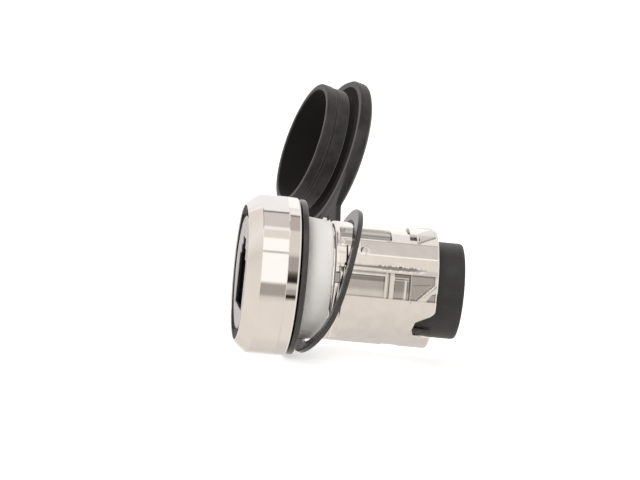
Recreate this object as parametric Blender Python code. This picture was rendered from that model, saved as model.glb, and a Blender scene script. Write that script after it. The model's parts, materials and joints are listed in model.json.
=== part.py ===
"""Panel mount ethernet socket with a tethered dust cap.

Metres, +Z up. The socket's axis is Y: the plug goes in from -Y and the cable jack is at +Y.
The origin is on that axis, in the plane of the gasket's rear face, where the panel's front is.
The cap, its strap and its tether ring are one rubber moulding, drawn flat round the ring's
centre and then laid in place by three empties, one on each line where the rubber bends.
"""

import math

import bmesh
import bpy
from mathutils import Matrix, Vector

# The port, sized for an 8-way modular plug: the socket's radii are built up from it
PORT_HALF_WIDTH = 0.00585
PORT_FLOOR_Z = -0.0042
PORT_ROOF_Z = 0.0024
PORT_DEPTH = 0.0118
LATCH_HALF_WIDTH = 0.00305
LATCH_ROOF_Z = 0.0040
LATCH_TIP_HALF_WIDTH = 0.0017
LATCH_TIP_Z = 0.0053

# Clearances
SEAT_GAP = 0.0003
SLIDE_GAP = 0.00025
RING_SLACK = 0.00055
CUTTER_REACH = 0.003
EMPTY_SIZE = 0.004

# The two jacks
JACK_WALL = 0.0016
JACK_SIDE_WALL = 0.00085
JACK_TOP_WALL = 0.0015
JACK_CORNER = 0.0011
JACK_FACE_SETBACK = 0.0004
JACK_BARREL_LENGTH = 0.0072
REAR_PROJECTION = 0.0052
REAR_EDGE = 0.0006
REAR_RADIUS = math.hypot(PORT_HALF_WIDTH, PORT_FLOOR_Z) + JACK_WALL
JACK_HALF_WIDTH = PORT_HALF_WIDTH + JACK_SIDE_WALL
JACK_HALF_HEIGHT = LATCH_TIP_Z + JACK_TOP_WALL

# Barrel, the die-cast mounting body
BARREL_WALL = 0.0018
BARREL_LENGTH = 0.0191
BARREL_REAR_EDGE = 0.0003
NECK_STEP = 0.0010
NECK_WALL = 0.0006
JACK_BARREL_GAP = 0.0004
BARREL_BORE_RADIUS = REAR_RADIUS + SEAT_GAP
BARREL_RADIUS = BARREL_BORE_RADIUS + BARREL_WALL
NECK_RADIUS = BARREL_RADIUS - NECK_STEP
NECK_BORE_RADIUS = NECK_RADIUS - NECK_WALL
JACK_BARREL_RADIUS = NECK_BORE_RADIUS - JACK_BARREL_GAP
SHOULDER_LENGTH = 0.0011
SHOULDER_GROOVE_LENGTH = 0.0007
SHOULDER_GROOVE_DEPTH = 0.0005
TOP_FLAT_FROM = 0.0043
TOP_FLAT_DEPTH = 0.0004
TOP_FLAT_LENGTH = 0.0092
BOTTOM_GROOVE_FROM = 0.0108
BOTTOM_GROOVE_LENGTH = 0.0029
BOTTOM_GROOVE_DEPTH = 0.00055
BOTTOM_GROOVE_HALF_WIDTH = 0.0062
POCKET_ANGLE = 8.0
POCKET_HALF_WIDTH = 0.0023
POCKET_DEPTH = 0.0009
FIRST_POCKET_FROM = 0.0025
FIRST_POCKET_LENGTH = 0.0067
SECOND_POCKET_LENGTH = 0.0033
POCKET_WALL = 0.0007
INNER_STEP_DEPTH = 0.0012
DIAGONAL_RIB_WIDTH = 0.00055
FACET_ANGLE = 46.0
FACET_DEPTH = 0.00012
SCORE_ANGLE = 26.0
SCORE_WIDTH = 0.0004
SCORE_DEPTH = 0.0004
CHANNEL_ANGLE = 64.5
CHANNEL_HALF_WIDTH = 0.0018
CHANNEL_DEPTH = 0.0007
CHANNEL_LENGTH = 0.0092
CHANNEL_CORNER = 0.0009
LATCH_SLOT_FROM_REAR = 0.0051
LATCH_SLOT_WIDTH = 0.0005
LATCH_POCKET_LENGTH = 0.0012
SIDE_CUT_LENGTH = 0.0037
SIDE_CUT_ANGLES = (-15.0, -27.0, -38.0, -46.0)

# Port insert, the grey face round the port
INSERT_OVER_NECK = 0.0007
INSERT_BACK_FROM_FACE = 0.0003
INSERT_EDGE = 0.0004
INSERT_WALL = 0.0006
INSERT_RADIUS = NECK_RADIUS + INSERT_OVER_NECK
WINDOW_HALF_WIDTH = PORT_HALF_WIDTH + 0.00025
WINDOW_STEP_HALF_WIDTH = LATCH_HALF_WIDTH + 0.00115
WINDOW_TOP_HALF_WIDTH = LATCH_TIP_HALF_WIDTH + 0.0009
WINDOW_BOTTOM_Z = PORT_FLOOR_Z - 0.0021
WINDOW_STEP_Z = PORT_ROOF_Z + 0.0006
WINDOW_SECOND_STEP_Z = LATCH_ROOF_Z + 0.0008
WINDOW_TOP_Z = LATCH_TIP_Z + 0.0012

# Bezel, the chromed front ring
RECESS_ROOM = 0.0017
BEZEL_WALL = 0.0022
BEZEL_LENGTH = 0.00943
BEZEL_CHAMFER_LENGTH = 0.0024
BEZEL_RIM = 0.0003
BEZEL_RECESS_DEPTH = 0.0063
BEZEL_EDGE = 0.00025
BEZEL_RECESS_RADIUS = INSERT_RADIUS + RECESS_ROOM
BEZEL_RIM_RADIUS = BEZEL_RECESS_RADIUS + BEZEL_RIM
BEZEL_RADIUS = BEZEL_RECESS_RADIUS + BEZEL_WALL

# Gasket and centring collar
GASKET_SETBACK = 0.0003
GASKET_THICKNESS = 0.0011
GASKET_RADIUS = BEZEL_RADIUS - GASKET_SETBACK
COLLAR_FRONT_OVER_BARREL = 0.0004
COLLAR_REAR_UNDER_BARREL = 0.0001
COLLAR_FRONT_RADIUS = BARREL_RADIUS + COLLAR_FRONT_OVER_BARREL
COLLAR_REAR_RADIUS = BARREL_RADIUS - COLLAR_REAR_UNDER_BARREL
COLLAR_PARALLEL_LENGTH = 0.0014
COLLAR_LENGTH = 0.0061
COLLAR_ROUND = 0.00045
KEY_WIDTH = 0.0016
KEY_LENGTH = 0.0007
KEY_HEIGHT = 0.00055
KEY_FROM_REAR = 0.0009

# Circuit board and spring contacts
BOARD_THICKNESS = 0.0016
BOARD_HALF_WIDTH = PORT_HALF_WIDTH + 0.00115
BOARD_HALF_HEIGHT = 0.0008 - PORT_FLOOR_Z
CONTACT_COUNT = 8
CONTACT_PITCH = 0.00102
CONTACT_WIDTH = 0.00045
CONTACT_THICKNESS = 0.0003
CONTACT_BEND_FROM_MOUTH = 0.0046
CONTACT_TIP_RISE = 0.0026
CONTACT_TIP_RUN = 0.0052
CONTACT_BAY_SIDE = 0.0004
CONTACT_BAY_DEPTH = 0.0010
CONTACT_BAY_HALF_WIDTH = CONTACT_COUNT * CONTACT_PITCH / 2 + CONTACT_BAY_SIDE

# Seal at the bottom of the recess
SEAL_THICKNESS = 0.0006
SEAL_SIDE_GAP = 0.0004

# Rubber moulding: ring, strap and cap
RUBBER_THICKNESS = 0.0010
RING_SEATED_Y = 0.0005
RING_SEATED_Z = 0.00025
RING_REST_Y = 0.0051
RING_REST_Z = 0.0
RING_TILT = 18.2
RING_SETBACK = 0.00005
RING_RADIUS = GASKET_RADIUS - RING_SETBACK
RING_HOLE_RADIUS = (BARREL_RADIUS + RING_SLACK) / math.cos(math.radians(RING_TILT))
STRAP_DIRECTION = 64.8
STRAP_HALF_WIDTH = 0.0015
STRAP_FLARE_HALF_WIDTH = 0.0035
STRAP_FLARE_LENGTH = 0.0030
STRAP_REST_BEND = 3.9
CAP_REST_BEND = 4.2
EAR_LENGTH = 0.0003
RING_EAR_HALF_WIDTH = 0.0026
CAP_EAR_HALF_WIDTH = 0.0060
FLANGE_OVERHANG = 0.0001
FLANGE_RADIUS = BEZEL_RADIUS + FLANGE_OVERHANG
FLANGE_THICKNESS = 0.0021
FLANGE_EDGE = 0.0004
DOME_RISE = 0.0010
DOME_BEVEL = 0.0012
PLUG_LENGTH = 0.0058
PLUG_WALL = 0.0012
PLUG_BAND_LENGTH = 0.0018
PLUG_GROOVE_DEPTH = 0.0004
PLUG_GROOVE_LENGTH = 0.0004
PLUG_NECK_DEPTH = 0.0007
PLUG_NECK_LENGTH = 0.0019
CAP_FLOOR_THICKNESS = 0.0019
LIP_REACH = 0.0014
LIP_HALF_ANGLE = 58.0
LIP_THICKNESS = 0.0015

# Facets of a turn
FINE_TURN = 72
PLAIN_TURN = 56

# Places along the axis, worked out from the sizes above
GASKET_FRONT_Y = -GASKET_THICKNESS
BEZEL_REAR_Y = GASKET_FRONT_Y - SEAT_GAP
BEZEL_FRONT_Y = BEZEL_REAR_Y - BEZEL_LENGTH
RECESS_FLOOR_Y = BEZEL_FRONT_Y + BEZEL_RECESS_DEPTH
NECK_FRONT_Y = RECESS_FLOOR_Y + SEAT_GAP
COLLAR_FRONT_Y = BEZEL_REAR_Y + SEAT_GAP
COLLAR_REAR_Y = COLLAR_FRONT_Y + COLLAR_LENGTH
BARREL_FRONT_Y = COLLAR_REAR_Y + SEAT_GAP
BARREL_REAR_Y = BARREL_FRONT_Y + BARREL_LENGTH
INSERT_FRONT_Y = BEZEL_FRONT_Y + INSERT_BACK_FROM_FACE
INSERT_REAR_Y = RECESS_FLOOR_Y - SEAT_GAP
JACK_FACE_Y = INSERT_FRONT_Y + INSERT_WALL + SEAT_GAP + JACK_FACE_SETBACK
JACK_SHOULDER_Y = NECK_FRONT_Y - SEAT_GAP
JACK_REAR_Y = JACK_SHOULDER_Y + JACK_BARREL_LENGTH
BOARD_FRONT_Y = JACK_REAR_Y + SEAT_GAP
BOARD_REAR_Y = BOARD_FRONT_Y + BOARD_THICKNESS
REAR_FRONT_Y = BOARD_REAR_Y + SEAT_GAP
REAR_END_Y = BARREL_REAR_Y + REAR_PROJECTION
WEB_BORE_RADIUS = NECK_RADIUS + SEAT_GAP
GASKET_BORE_RADIUS = COLLAR_FRONT_RADIUS + SEAT_GAP
POCKET_FLOOR = BARREL_RADIUS - POCKET_DEPTH
PLUG_RADIUS = BEZEL_RECESS_RADIUS - SLIDE_GAP
PLUG_BORE_RADIUS = PLUG_RADIUS - PLUG_WALL
HALF_RUBBER = RUBBER_THICKNESS / 2
KNUCKLE_REACH = HALF_RUBBER + SEAT_GAP
CAP_ARM = FLANGE_RADIUS + EAR_LENGTH + KNUCKLE_REACH
RING_ARM = CAP_ARM
STRAP_LENGTH = RING_SEATED_Y + RUBBER_THICKNESS - BEZEL_FRONT_Y


def clear_scene():
    for obj in list(bpy.data.objects):
        bpy.data.objects.remove(obj, do_unlink=True)


def make_material(name, colour, roughness, metallic=0.0):
    material = bpy.data.materials.new(name)
    material.use_nodes = True
    shader = material.node_tree.nodes["Principled BSDF"]
    shader.inputs["Base Color"].default_value = (*colour, 1.0)
    shader.inputs["Roughness"].default_value = roughness
    shader.inputs["Metallic"].default_value = metallic
    return material


def add_object(name, bm, material=None):
    """Writes the bmesh into a new object, with its faces pointing out."""
    bmesh.ops.recalc_face_normals(bm, faces=bm.faces[:])
    mesh = bpy.data.meshes.new(name)
    bm.to_mesh(mesh)
    bm.free()
    obj = bpy.data.objects.new(name, mesh)
    bpy.context.scene.collection.objects.link(obj)
    if material:
        mesh.materials.append(material)
    return obj


def make_guide(obj):
    """A cutter or an added shape: used by a Boolean and left out of the part."""
    obj.hide_render = True
    obj.display_type = "WIRE"
    return obj


def shade_round(obj, angle=35.0):
    obj.data.shade_smooth()
    obj.data.set_sharp_from_angle(angle=math.radians(angle))


def turn_profile(name, profile, steps, material=None, axis=(0.0, 1.0, 0.0)):
    """A closed outline of (radius, height) points turned once round the axis."""
    bm = bmesh.new()
    along = Vector(axis)
    across = Vector((1.0, 0.0, 0.0))
    points = [bm.verts.new(across * radius + along * height) for radius, height in profile]
    edges = [bm.edges.new((a, b)) for a, b in zip(points, points[1:] + points[:1])]
    bmesh.ops.spin(
        bm,
        geom=points + edges,
        cent=(0.0, 0.0, 0.0),
        axis=axis,
        angle=math.tau,
        steps=steps,
        use_merge=True,
    )
    bmesh.ops.remove_doubles(bm, verts=bm.verts[:], dist=1e-7)
    bmesh.ops.dissolve_degenerate(bm, edges=bm.edges[:], dist=1e-8)
    return add_object(name, bm, material)


def extrude_outline(name, outline, frame, low, high, material=None):
    """An outline in the frame's X and Y, pushed from low to high along the frame's Z."""
    bm = bmesh.new()
    corners = [bm.verts.new(frame @ Vector((x, y, low))) for x, y in outline]
    face = bm.faces.new(corners)
    pushed = bmesh.ops.extrude_face_region(bm, geom=[face])
    moved = [item for item in pushed["geom"] if isinstance(item, bmesh.types.BMVert)]
    reach = frame.to_3x3() @ Vector((0.0, 0.0, high - low))
    bmesh.ops.translate(bm, verts=moved, vec=reach)
    return add_object(name, bm, material)


def combine(obj, other, operation):
    make_guide(other)
    modifier = obj.modifiers.new(f"{operation.lower()} {other.name}", "BOOLEAN")
    modifier.operation = operation
    modifier.object = other
    modifier.solver = "EXACT"


def cut(obj, cutter):
    combine(obj, cutter, "DIFFERENCE")


def rectangle(left, right, bottom, top):
    return [(left, bottom), (right, bottom), (right, top), (left, top)]


def mirrored(outline):
    """The same outline on the other side of its Y axis."""
    return [(-x, y) for x, y in reversed(outline)]


def arc(centre, radius, start, end, steps):
    """Points on an arc, in degrees, ends included."""
    angles = [math.radians(start + (end - start) * i / steps) for i in range(steps + 1)]
    return [(centre[0] + radius * math.cos(a), centre[1] + radius * math.sin(a)) for a in angles]


def facing_y():
    """A frame with X across, Y up and Z along the socket's axis, towards the rear."""
    return Matrix(((1.0, 0.0, 0.0, 0.0), (0.0, 0.0, 1.0, 0.0), (0.0, 1.0, 0.0, 0.0), (0.0, 0.0, 0.0, 1.0)))


def wall_frame(degrees):
    """A frame on the barrel's side: X along the axis, Y round the wall upwards, Z out of the wall."""
    angle = math.radians(degrees)
    out = Vector((math.cos(angle), 0.0, math.sin(angle)))
    round_wall = Vector((-math.sin(angle), 0.0, math.cos(angle)))
    along = Vector((0.0, 1.0, 0.0))
    return Matrix((along, round_wall, out)).transposed().to_4x4()


def on_both_sides(body, name, outline, degrees, low, high):
    """Cuts one outline out of the barrel's +X wall and its mirror image out of the -X wall."""
    cut(body, extrude_outline(f"{name}_right", outline, wall_frame(degrees), low, high))
    opposite = [(x, -y) for x, y in reversed(outline)]
    cut(body, extrude_outline(f"{name}_left", opposite, wall_frame(180.0 - degrees), low, high))


def build_bezel(chrome):
    chamfer_end = BEZEL_FRONT_Y + BEZEL_CHAMFER_LENGTH
    profile = [
        (BEZEL_RECESS_RADIUS, BEZEL_FRONT_Y + BEZEL_EDGE),
        (BEZEL_RIM_RADIUS, BEZEL_FRONT_Y),
        (BEZEL_RIM_RADIUS + BEZEL_EDGE, BEZEL_FRONT_Y + BEZEL_EDGE / 2),
        (BEZEL_RADIUS - BEZEL_EDGE, chamfer_end - BEZEL_EDGE),
        (BEZEL_RADIUS, chamfer_end + BEZEL_EDGE),
        (BEZEL_RADIUS, BEZEL_REAR_Y - BEZEL_EDGE),
        (BEZEL_RADIUS - BEZEL_EDGE, BEZEL_REAR_Y),
        (WEB_BORE_RADIUS, BEZEL_REAR_Y),
        (WEB_BORE_RADIUS, RECESS_FLOOR_Y),
        (BEZEL_RECESS_RADIUS, RECESS_FLOOR_Y),
    ]
    shade_round(turn_profile("bezel", profile, FINE_TURN, chrome), 20.0)


def build_gasket(rubber):
    profile = [
        (GASKET_BORE_RADIUS, GASKET_FRONT_Y),
        (GASKET_RADIUS, GASKET_FRONT_Y),
        (GASKET_RADIUS, 0.0),
        (GASKET_BORE_RADIUS, 0.0),
    ]
    shade_round(turn_profile("bezel_gasket", profile, FINE_TURN, rubber))


def build_groove_seal(rubber):
    rear = RECESS_FLOOR_Y - SEAT_GAP
    front = rear - SEAL_THICKNESS
    inner = INSERT_RADIUS + SEAT_GAP
    outer = BEZEL_RECESS_RADIUS - SEAL_SIDE_GAP
    profile = [(inner, front), (outer, front), (outer, rear), (inner, rear)]
    shade_round(turn_profile("groove_seal", profile, PLAIN_TURN, rubber))


def build_collar(white):
    """Reaches forward inside the gasket, then tapers to its rear edge; the key is on top."""
    inner = NECK_RADIUS + SEAT_GAP
    rear_centre = (COLLAR_REAR_RADIUS - COLLAR_ROUND, COLLAR_REAR_Y - COLLAR_ROUND)
    taper_start = COLLAR_FRONT_Y + COLLAR_PARALLEL_LENGTH
    profile = [
        (inner, COLLAR_FRONT_Y),
        (COLLAR_FRONT_RADIUS, COLLAR_FRONT_Y),
        (COLLAR_FRONT_RADIUS, taper_start),
    ]
    profile += arc(rear_centre, COLLAR_ROUND, 0.0, 90.0, 3)
    profile += [(inner, COLLAR_REAR_Y)]
    collar = turn_profile("centring_collar", profile, FINE_TURN, white)
    shade_round(collar)
    key_rear = COLLAR_REAR_Y - KEY_FROM_REAR
    key_root = COLLAR_REAR_RADIUS - COLLAR_ROUND
    key_top = COLLAR_REAR_RADIUS + KEY_HEIGHT
    outline = rectangle(-KEY_WIDTH / 2, KEY_WIDTH / 2, key_root, key_top)
    key = extrude_outline("collar_key", outline, facing_y(), key_rear - KEY_LENGTH, key_rear)
    combine(collar, key, "UNION")


def cut_pockets(barrel):
    """The row of cored pockets, with the bare first one, the stepped second one and the ribbed third."""
    outside = BARREL_RADIUS + CUTTER_REACH
    half = POCKET_HALF_WIDTH
    start = BARREL_FRONT_Y + FIRST_POCKET_FROM
    first_end = start + FIRST_POCKET_LENGTH
    first = rectangle(start, first_end, -half, half)
    on_both_sides(barrel, "first_pocket", first, POCKET_ANGLE, POCKET_FLOOR, outside)
    second_start = first_end + 2 * POCKET_WALL
    second_end = second_start + SECOND_POCKET_LENGTH
    second = rectangle(second_start, second_end, -half, half)
    on_both_sides(barrel, "second_pocket", second, POCKET_ANGLE, POCKET_FLOOR, outside)
    ridge_groove = rectangle(first_end + POCKET_WALL * 0.75, first_end + POCKET_WALL * 1.25, -half, half)
    on_both_sides(barrel, "ridge_groove", ridge_groove, POCKET_ANGLE, POCKET_FLOOR, outside)
    inner_step = rectangle(second_start + POCKET_WALL, second_end, -half, half * 0.2)
    on_both_sides(barrel, "inner_step", inner_step, POCKET_ANGLE, BARREL_RADIUS - INNER_STEP_DEPTH, outside)
    third_start = second_end + POCKET_WALL / 2
    past_end = BARREL_REAR_Y + CUTTER_REACH
    rib_half = DIAGONAL_RIB_WIDTH * 0.75
    rib_low = third_start + 2 * POCKET_WALL
    upper = [
        (third_start, half),
        (third_start, -half),
        (rib_low - rib_half, -half),
        (BARREL_REAR_Y - POCKET_WALL - rib_half, half),
    ]
    on_both_sides(barrel, "rib_pocket_upper", upper, POCKET_ANGLE, POCKET_FLOOR, outside)
    lower = [
        (rib_low + rib_half, -half),
        (past_end, -half),
        (past_end, half),
        (BARREL_REAR_Y - POCKET_WALL + rib_half, half),
    ]
    on_both_sides(barrel, "rib_pocket_lower", lower, POCKET_ANGLE, POCKET_FLOOR, outside)


def cut_shoulder(barrel):
    """The rim behind the collar, the groove behind it, broken by a pad, and the dark notch."""
    groove_start = BARREL_FRONT_Y + SHOULDER_LENGTH
    groove_end = groove_start + SHOULDER_GROOVE_LENGTH
    floor = BARREL_RADIUS - SHOULDER_GROOVE_DEPTH
    outside = BARREL_RADIUS + CUTTER_REACH
    half_chord = floor * math.sin(math.radians(26.0))
    groove = rectangle(groove_start, groove_end, -half_chord, half_chord)
    on_both_sides(barrel, "shoulder_groove", groove, -8.0, floor - SHOULDER_GROOVE_DEPTH, outside)
    notch = rectangle(BARREL_FRONT_Y - SEAT_GAP, groove_start, -0.0010, 0.0010)
    on_both_sides(barrel, "shoulder_notch", notch, 12.0, POCKET_FLOOR, outside)


def cut_top(barrel):
    """The flat top, the channel beside it, and the latch slot and its small pocket."""
    reach = BARREL_RADIUS + CUTTER_REACH
    top = wall_frame(90.0)
    flat_start = BARREL_FRONT_Y + TOP_FLAT_FROM
    flat = rectangle(flat_start, flat_start + TOP_FLAT_LENGTH, -reach, reach)
    cut(barrel, extrude_outline("top_flat", flat, top, BARREL_RADIUS - TOP_FLAT_DEPTH, reach))
    channel_start = BARREL_FRONT_Y + SHOULDER_LENGTH
    channel_end = channel_start + CHANNEL_LENGTH
    half = CHANNEL_HALF_WIDTH
    corner = CHANNEL_CORNER
    channel = [(channel_start, -half)]
    channel += arc((channel_end - corner, corner - half), corner, -90.0, 0.0, 5)
    channel += arc((channel_end - corner, half - corner), corner, 0.0, 90.0, 5)
    channel += [(channel_start, half)]
    floor = BARREL_RADIUS - CHANNEL_DEPTH
    on_both_sides(barrel, "side_channel", channel, CHANNEL_ANGLE, floor, reach)
    slot_rear = BARREL_REAR_Y - LATCH_SLOT_FROM_REAR + LATCH_SLOT_WIDTH
    slot = rectangle(slot_rear - LATCH_SLOT_WIDTH, slot_rear, -0.0013, 0.0013)
    on_both_sides(barrel, "latch_slot", slot, 72.0, POCKET_FLOOR - SLIDE_GAP, reach)
    pocket = rectangle(slot_rear + SEAT_GAP, slot_rear + LATCH_POCKET_LENGTH, -0.0006, 0.0006)
    on_both_sides(barrel, "latch_pocket", pocket, 61.0, POCKET_FLOOR, reach)
    slope = [
        (slot_rear + LATCH_POCKET_LENGTH, -0.0016),
        (BARREL_REAR_Y + CUTTER_REACH, -0.0009),
        (BARREL_REAR_Y + CUTTER_REACH, -0.0003),
        (slot_rear + LATCH_POCKET_LENGTH, -0.0010),
    ]
    on_both_sides(barrel, "latch_slope", slope, 70.0, POCKET_FLOOR + SEAT_GAP, reach)


def cut_long_lines(barrel):
    """The flat facet along the wall and the scored line under it."""
    reach = BARREL_RADIUS + CUTTER_REACH
    start = BARREL_FRONT_Y + TOP_FLAT_FROM + SEAT_GAP
    past_end = BARREL_REAR_Y + CUTTER_REACH
    half = BARREL_RADIUS * math.sin(math.radians(12.0))
    facet = rectangle(start, past_end, -half, half)
    on_both_sides(barrel, "long_facet", facet, FACET_ANGLE, BARREL_RADIUS - FACET_DEPTH, reach)
    groove_end = BARREL_FRONT_Y + SHOULDER_LENGTH + SHOULDER_GROOVE_LENGTH
    score = rectangle(groove_end, past_end, -SCORE_WIDTH / 2, SCORE_WIDTH / 2)
    on_both_sides(barrel, "score_line", score, SCORE_ANGLE, BARREL_RADIUS - SCORE_DEPTH, reach)


def cut_ends(barrel):
    """The bottom groove in front of the tab, and the cut-out at the rear that shows the jack."""
    reach = BARREL_RADIUS + CUTTER_REACH
    bottom = wall_frame(-90.0)
    start = BARREL_FRONT_Y + BOTTOM_GROOVE_FROM
    half = BOTTOM_GROOVE_HALF_WIDTH
    groove = rectangle(start, start + BOTTOM_GROOVE_LENGTH, -half, half)
    cut(barrel, extrude_outline("bottom_groove", groove, bottom, BARREL_RADIUS - BOTTOM_GROOVE_DEPTH, reach))
    middle = (SIDE_CUT_ANGLES[0] + SIDE_CUT_ANGLES[-1]) / 2
    places = [BARREL_RADIUS * math.sin(math.radians(a - middle)) for a in SIDE_CUT_ANGLES]
    past_end = BARREL_REAR_Y + CUTTER_REACH
    deep = BARREL_REAR_Y - SIDE_CUT_LENGTH
    outline = [
        (past_end, places[3]),
        (past_end, places[0]),
        (BARREL_REAR_Y, places[0]),
        (deep + SCORE_WIDTH, places[1]),
        (deep, places[2]),
        (deep + SCORE_WIDTH, places[3]),
    ]
    on_both_sides(barrel, "side_cut", outline, middle, BARREL_BORE_RADIUS * 0.7, reach)


def build_barrel(chrome):
    profile = [
        (NECK_BORE_RADIUS, NECK_FRONT_Y),
        (NECK_RADIUS, NECK_FRONT_Y),
        (NECK_RADIUS, BARREL_FRONT_Y),
        (BARREL_RADIUS - BEZEL_EDGE, BARREL_FRONT_Y),
        (BARREL_RADIUS, BARREL_FRONT_Y + BEZEL_EDGE),
        (BARREL_RADIUS, BARREL_REAR_Y - BARREL_REAR_EDGE),
        (BARREL_RADIUS - BARREL_REAR_EDGE, BARREL_REAR_Y),
        (BARREL_BORE_RADIUS, BARREL_REAR_Y),
        (BARREL_BORE_RADIUS, REAR_FRONT_Y),
        (NECK_BORE_RADIUS, REAR_FRONT_Y - SEAT_GAP),
    ]
    barrel = turn_profile("barrel", profile, FINE_TURN, chrome)
    shade_round(barrel, 25.0)
    cut_long_lines(barrel)
    cut_pockets(barrel)
    cut_shoulder(barrel)
    cut_top(barrel)
    cut_ends(barrel)


def window_outline():
    right = [
        (WINDOW_HALF_WIDTH, WINDOW_BOTTOM_Z),
        (WINDOW_HALF_WIDTH, WINDOW_STEP_Z),
        (WINDOW_STEP_HALF_WIDTH, WINDOW_STEP_Z),
        (WINDOW_STEP_HALF_WIDTH, WINDOW_SECOND_STEP_Z),
        (WINDOW_TOP_HALF_WIDTH, WINDOW_SECOND_STEP_Z),
        (WINDOW_TOP_HALF_WIDTH, WINDOW_TOP_Z),
    ]
    return right + mirrored(right)


def build_insert(grey):
    back = INSERT_REAR_Y
    profile = [
        (0.0, INSERT_FRONT_Y),
        (INSERT_RADIUS - INSERT_EDGE, INSERT_FRONT_Y),
        (INSERT_RADIUS, INSERT_FRONT_Y + INSERT_EDGE),
        (INSERT_RADIUS, back),
        (0.0, back),
    ]
    insert = turn_profile("port_insert", profile, PLAIN_TURN, grey)
    shade_round(insert)
    room_x = JACK_HALF_WIDTH + SEAT_GAP
    room_z = JACK_HALF_HEIGHT + SEAT_GAP
    room = rectangle(-room_x, room_x, -room_z, room_z)
    room_front = INSERT_FRONT_Y + INSERT_WALL
    cut(insert, extrude_outline("insert_room", room, facing_y(), room_front, back + CUTTER_REACH))
    past_face = INSERT_FRONT_Y - CUTTER_REACH
    window = extrude_outline("insert_window", window_outline(), facing_y(), past_face, room_front + SEAT_GAP)
    cut(insert, window)


def port_outline():
    """A modular jack's opening: a wide lower part and two steps for the plug's latch above it."""
    right = [
        (PORT_HALF_WIDTH, PORT_FLOOR_Z),
        (PORT_HALF_WIDTH, PORT_ROOF_Z),
        (LATCH_HALF_WIDTH, PORT_ROOF_Z),
        (LATCH_HALF_WIDTH, LATCH_ROOF_Z),
        (LATCH_TIP_HALF_WIDTH, LATCH_ROOF_Z),
        (LATCH_TIP_HALF_WIDTH, LATCH_TIP_Z),
    ]
    return right + mirrored(right)


def cut_port(jack, name, mouth_y, inward):
    """Cuts the port and the bay for its contacts; inward is +1 or -1 along Y."""
    ends = sorted((mouth_y - inward * CUTTER_REACH, mouth_y + inward * PORT_DEPTH))
    cut(jack, extrude_outline(f"{name}_port", port_outline(), facing_y(), ends[0], ends[1]))
    bay = rectangle(
        -CONTACT_BAY_HALF_WIDTH,
        CONTACT_BAY_HALF_WIDTH,
        PORT_FLOOR_Z - CONTACT_BAY_DEPTH,
        PORT_FLOOR_Z + CONTACT_THICKNESS,
    )
    bay_start = mouth_y + inward * (CONTACT_BEND_FROM_MOUTH - CONTACT_BAY_DEPTH)
    return bay, bay_start


def build_front_jack(black):
    """A block behind the insert's window, with its corners cut so that it runs on into a round barrel."""
    shoulder = JACK_SHOULDER_Y
    wide = JACK_HALF_WIDTH
    high = JACK_HALF_HEIGHT
    corner = JACK_CORNER
    right = [(wide - corner, -high), (wide, corner - high), (wide, high - corner), (wide - corner, high)]
    block = right + mirrored(right)
    block_end = shoulder + CONTACT_BAY_DEPTH
    jack = extrude_outline("front_jack", block, facing_y(), JACK_FACE_Y, block_end, black)
    radius = JACK_BARREL_RADIUS
    profile = [(0.0, shoulder), (radius, shoulder), (radius, JACK_REAR_Y), (0.0, JACK_REAR_Y)]
    combine(jack, turn_profile("front_jack_barrel", profile, PLAIN_TURN), "UNION")
    bay, bay_start = cut_port(jack, "front", JACK_FACE_Y, 1.0)
    cut(jack, extrude_outline("front_bay", bay, facing_y(), bay_start, JACK_REAR_Y + CUTTER_REACH))
    shade_round(jack)


def build_rear_jack(black):
    profile = [
        (0.0, REAR_FRONT_Y),
        (REAR_RADIUS, REAR_FRONT_Y),
        (REAR_RADIUS, REAR_END_Y - REAR_EDGE),
        (REAR_RADIUS - REAR_EDGE / 4, REAR_END_Y - REAR_EDGE / 4),
        (REAR_RADIUS - REAR_EDGE, REAR_END_Y),
        (0.0, REAR_END_Y),
    ]
    jack = turn_profile("rear_jack", profile, FINE_TURN, black)
    bay, bay_start = cut_port(jack, "rear", REAR_END_Y, -1.0)
    cut(jack, extrude_outline("rear_bay", bay, facing_y(), REAR_FRONT_Y - CUTTER_REACH, bay_start))
    shade_round(jack)


def build_board(green):
    outline = rectangle(-BOARD_HALF_WIDTH, BOARD_HALF_WIDTH, -BOARD_HALF_HEIGHT, BOARD_HALF_HEIGHT)
    extrude_outline("circuit_board", outline, facing_y(), BOARD_FRONT_Y, BOARD_REAR_Y, green)


def contact_outline(board_y, mouth_y, inward):
    """Side view of one spring contact, in (Y, Z): along the bay, round the bend and back up."""
    low = PORT_FLOOR_Z - CONTACT_BAY_DEPTH + SEAT_GAP
    high = low + CONTACT_THICKNESS
    bend = mouth_y + inward * CONTACT_BEND_FROM_MOUTH
    tip = bend + inward * CONTACT_TIP_RUN
    slope = CONTACT_TIP_RISE / CONTACT_TIP_RUN
    lean = CONTACT_THICKNESS * math.hypot(1.0, slope)
    inner = bend + inward * (high - low + lean) / slope * 0.5
    outline = [
        (board_y, low),
        (bend, low),
        (bend - inward * CONTACT_THICKNESS, (low + high) / 2 + CONTACT_THICKNESS / 2),
        (tip, low + lean + CONTACT_TIP_RISE + CONTACT_THICKNESS),
        (tip, low + CONTACT_TIP_RISE + CONTACT_THICKNESS),
        (inner, high),
        (board_y, high),
    ]
    return outline if inward > 0 else outline[::-1]


def build_contacts(name, gold, board_y, mouth_y, inward):
    outline = contact_outline(board_y, mouth_y, inward)
    side = Matrix(((0.0, 0.0, 1.0, 0.0), (1.0, 0.0, 0.0, 0.0), (0.0, 1.0, 0.0, 0.0), (0.0, 0.0, 0.0, 1.0)))
    for i in range(CONTACT_COUNT):
        x = (i - (CONTACT_COUNT - 1) / 2) * CONTACT_PITCH
        left = x - CONTACT_WIDTH / 2
        extrude_outline(f"{name}_{i + 1}", outline, side, left, left + CONTACT_WIDTH, gold)


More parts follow.
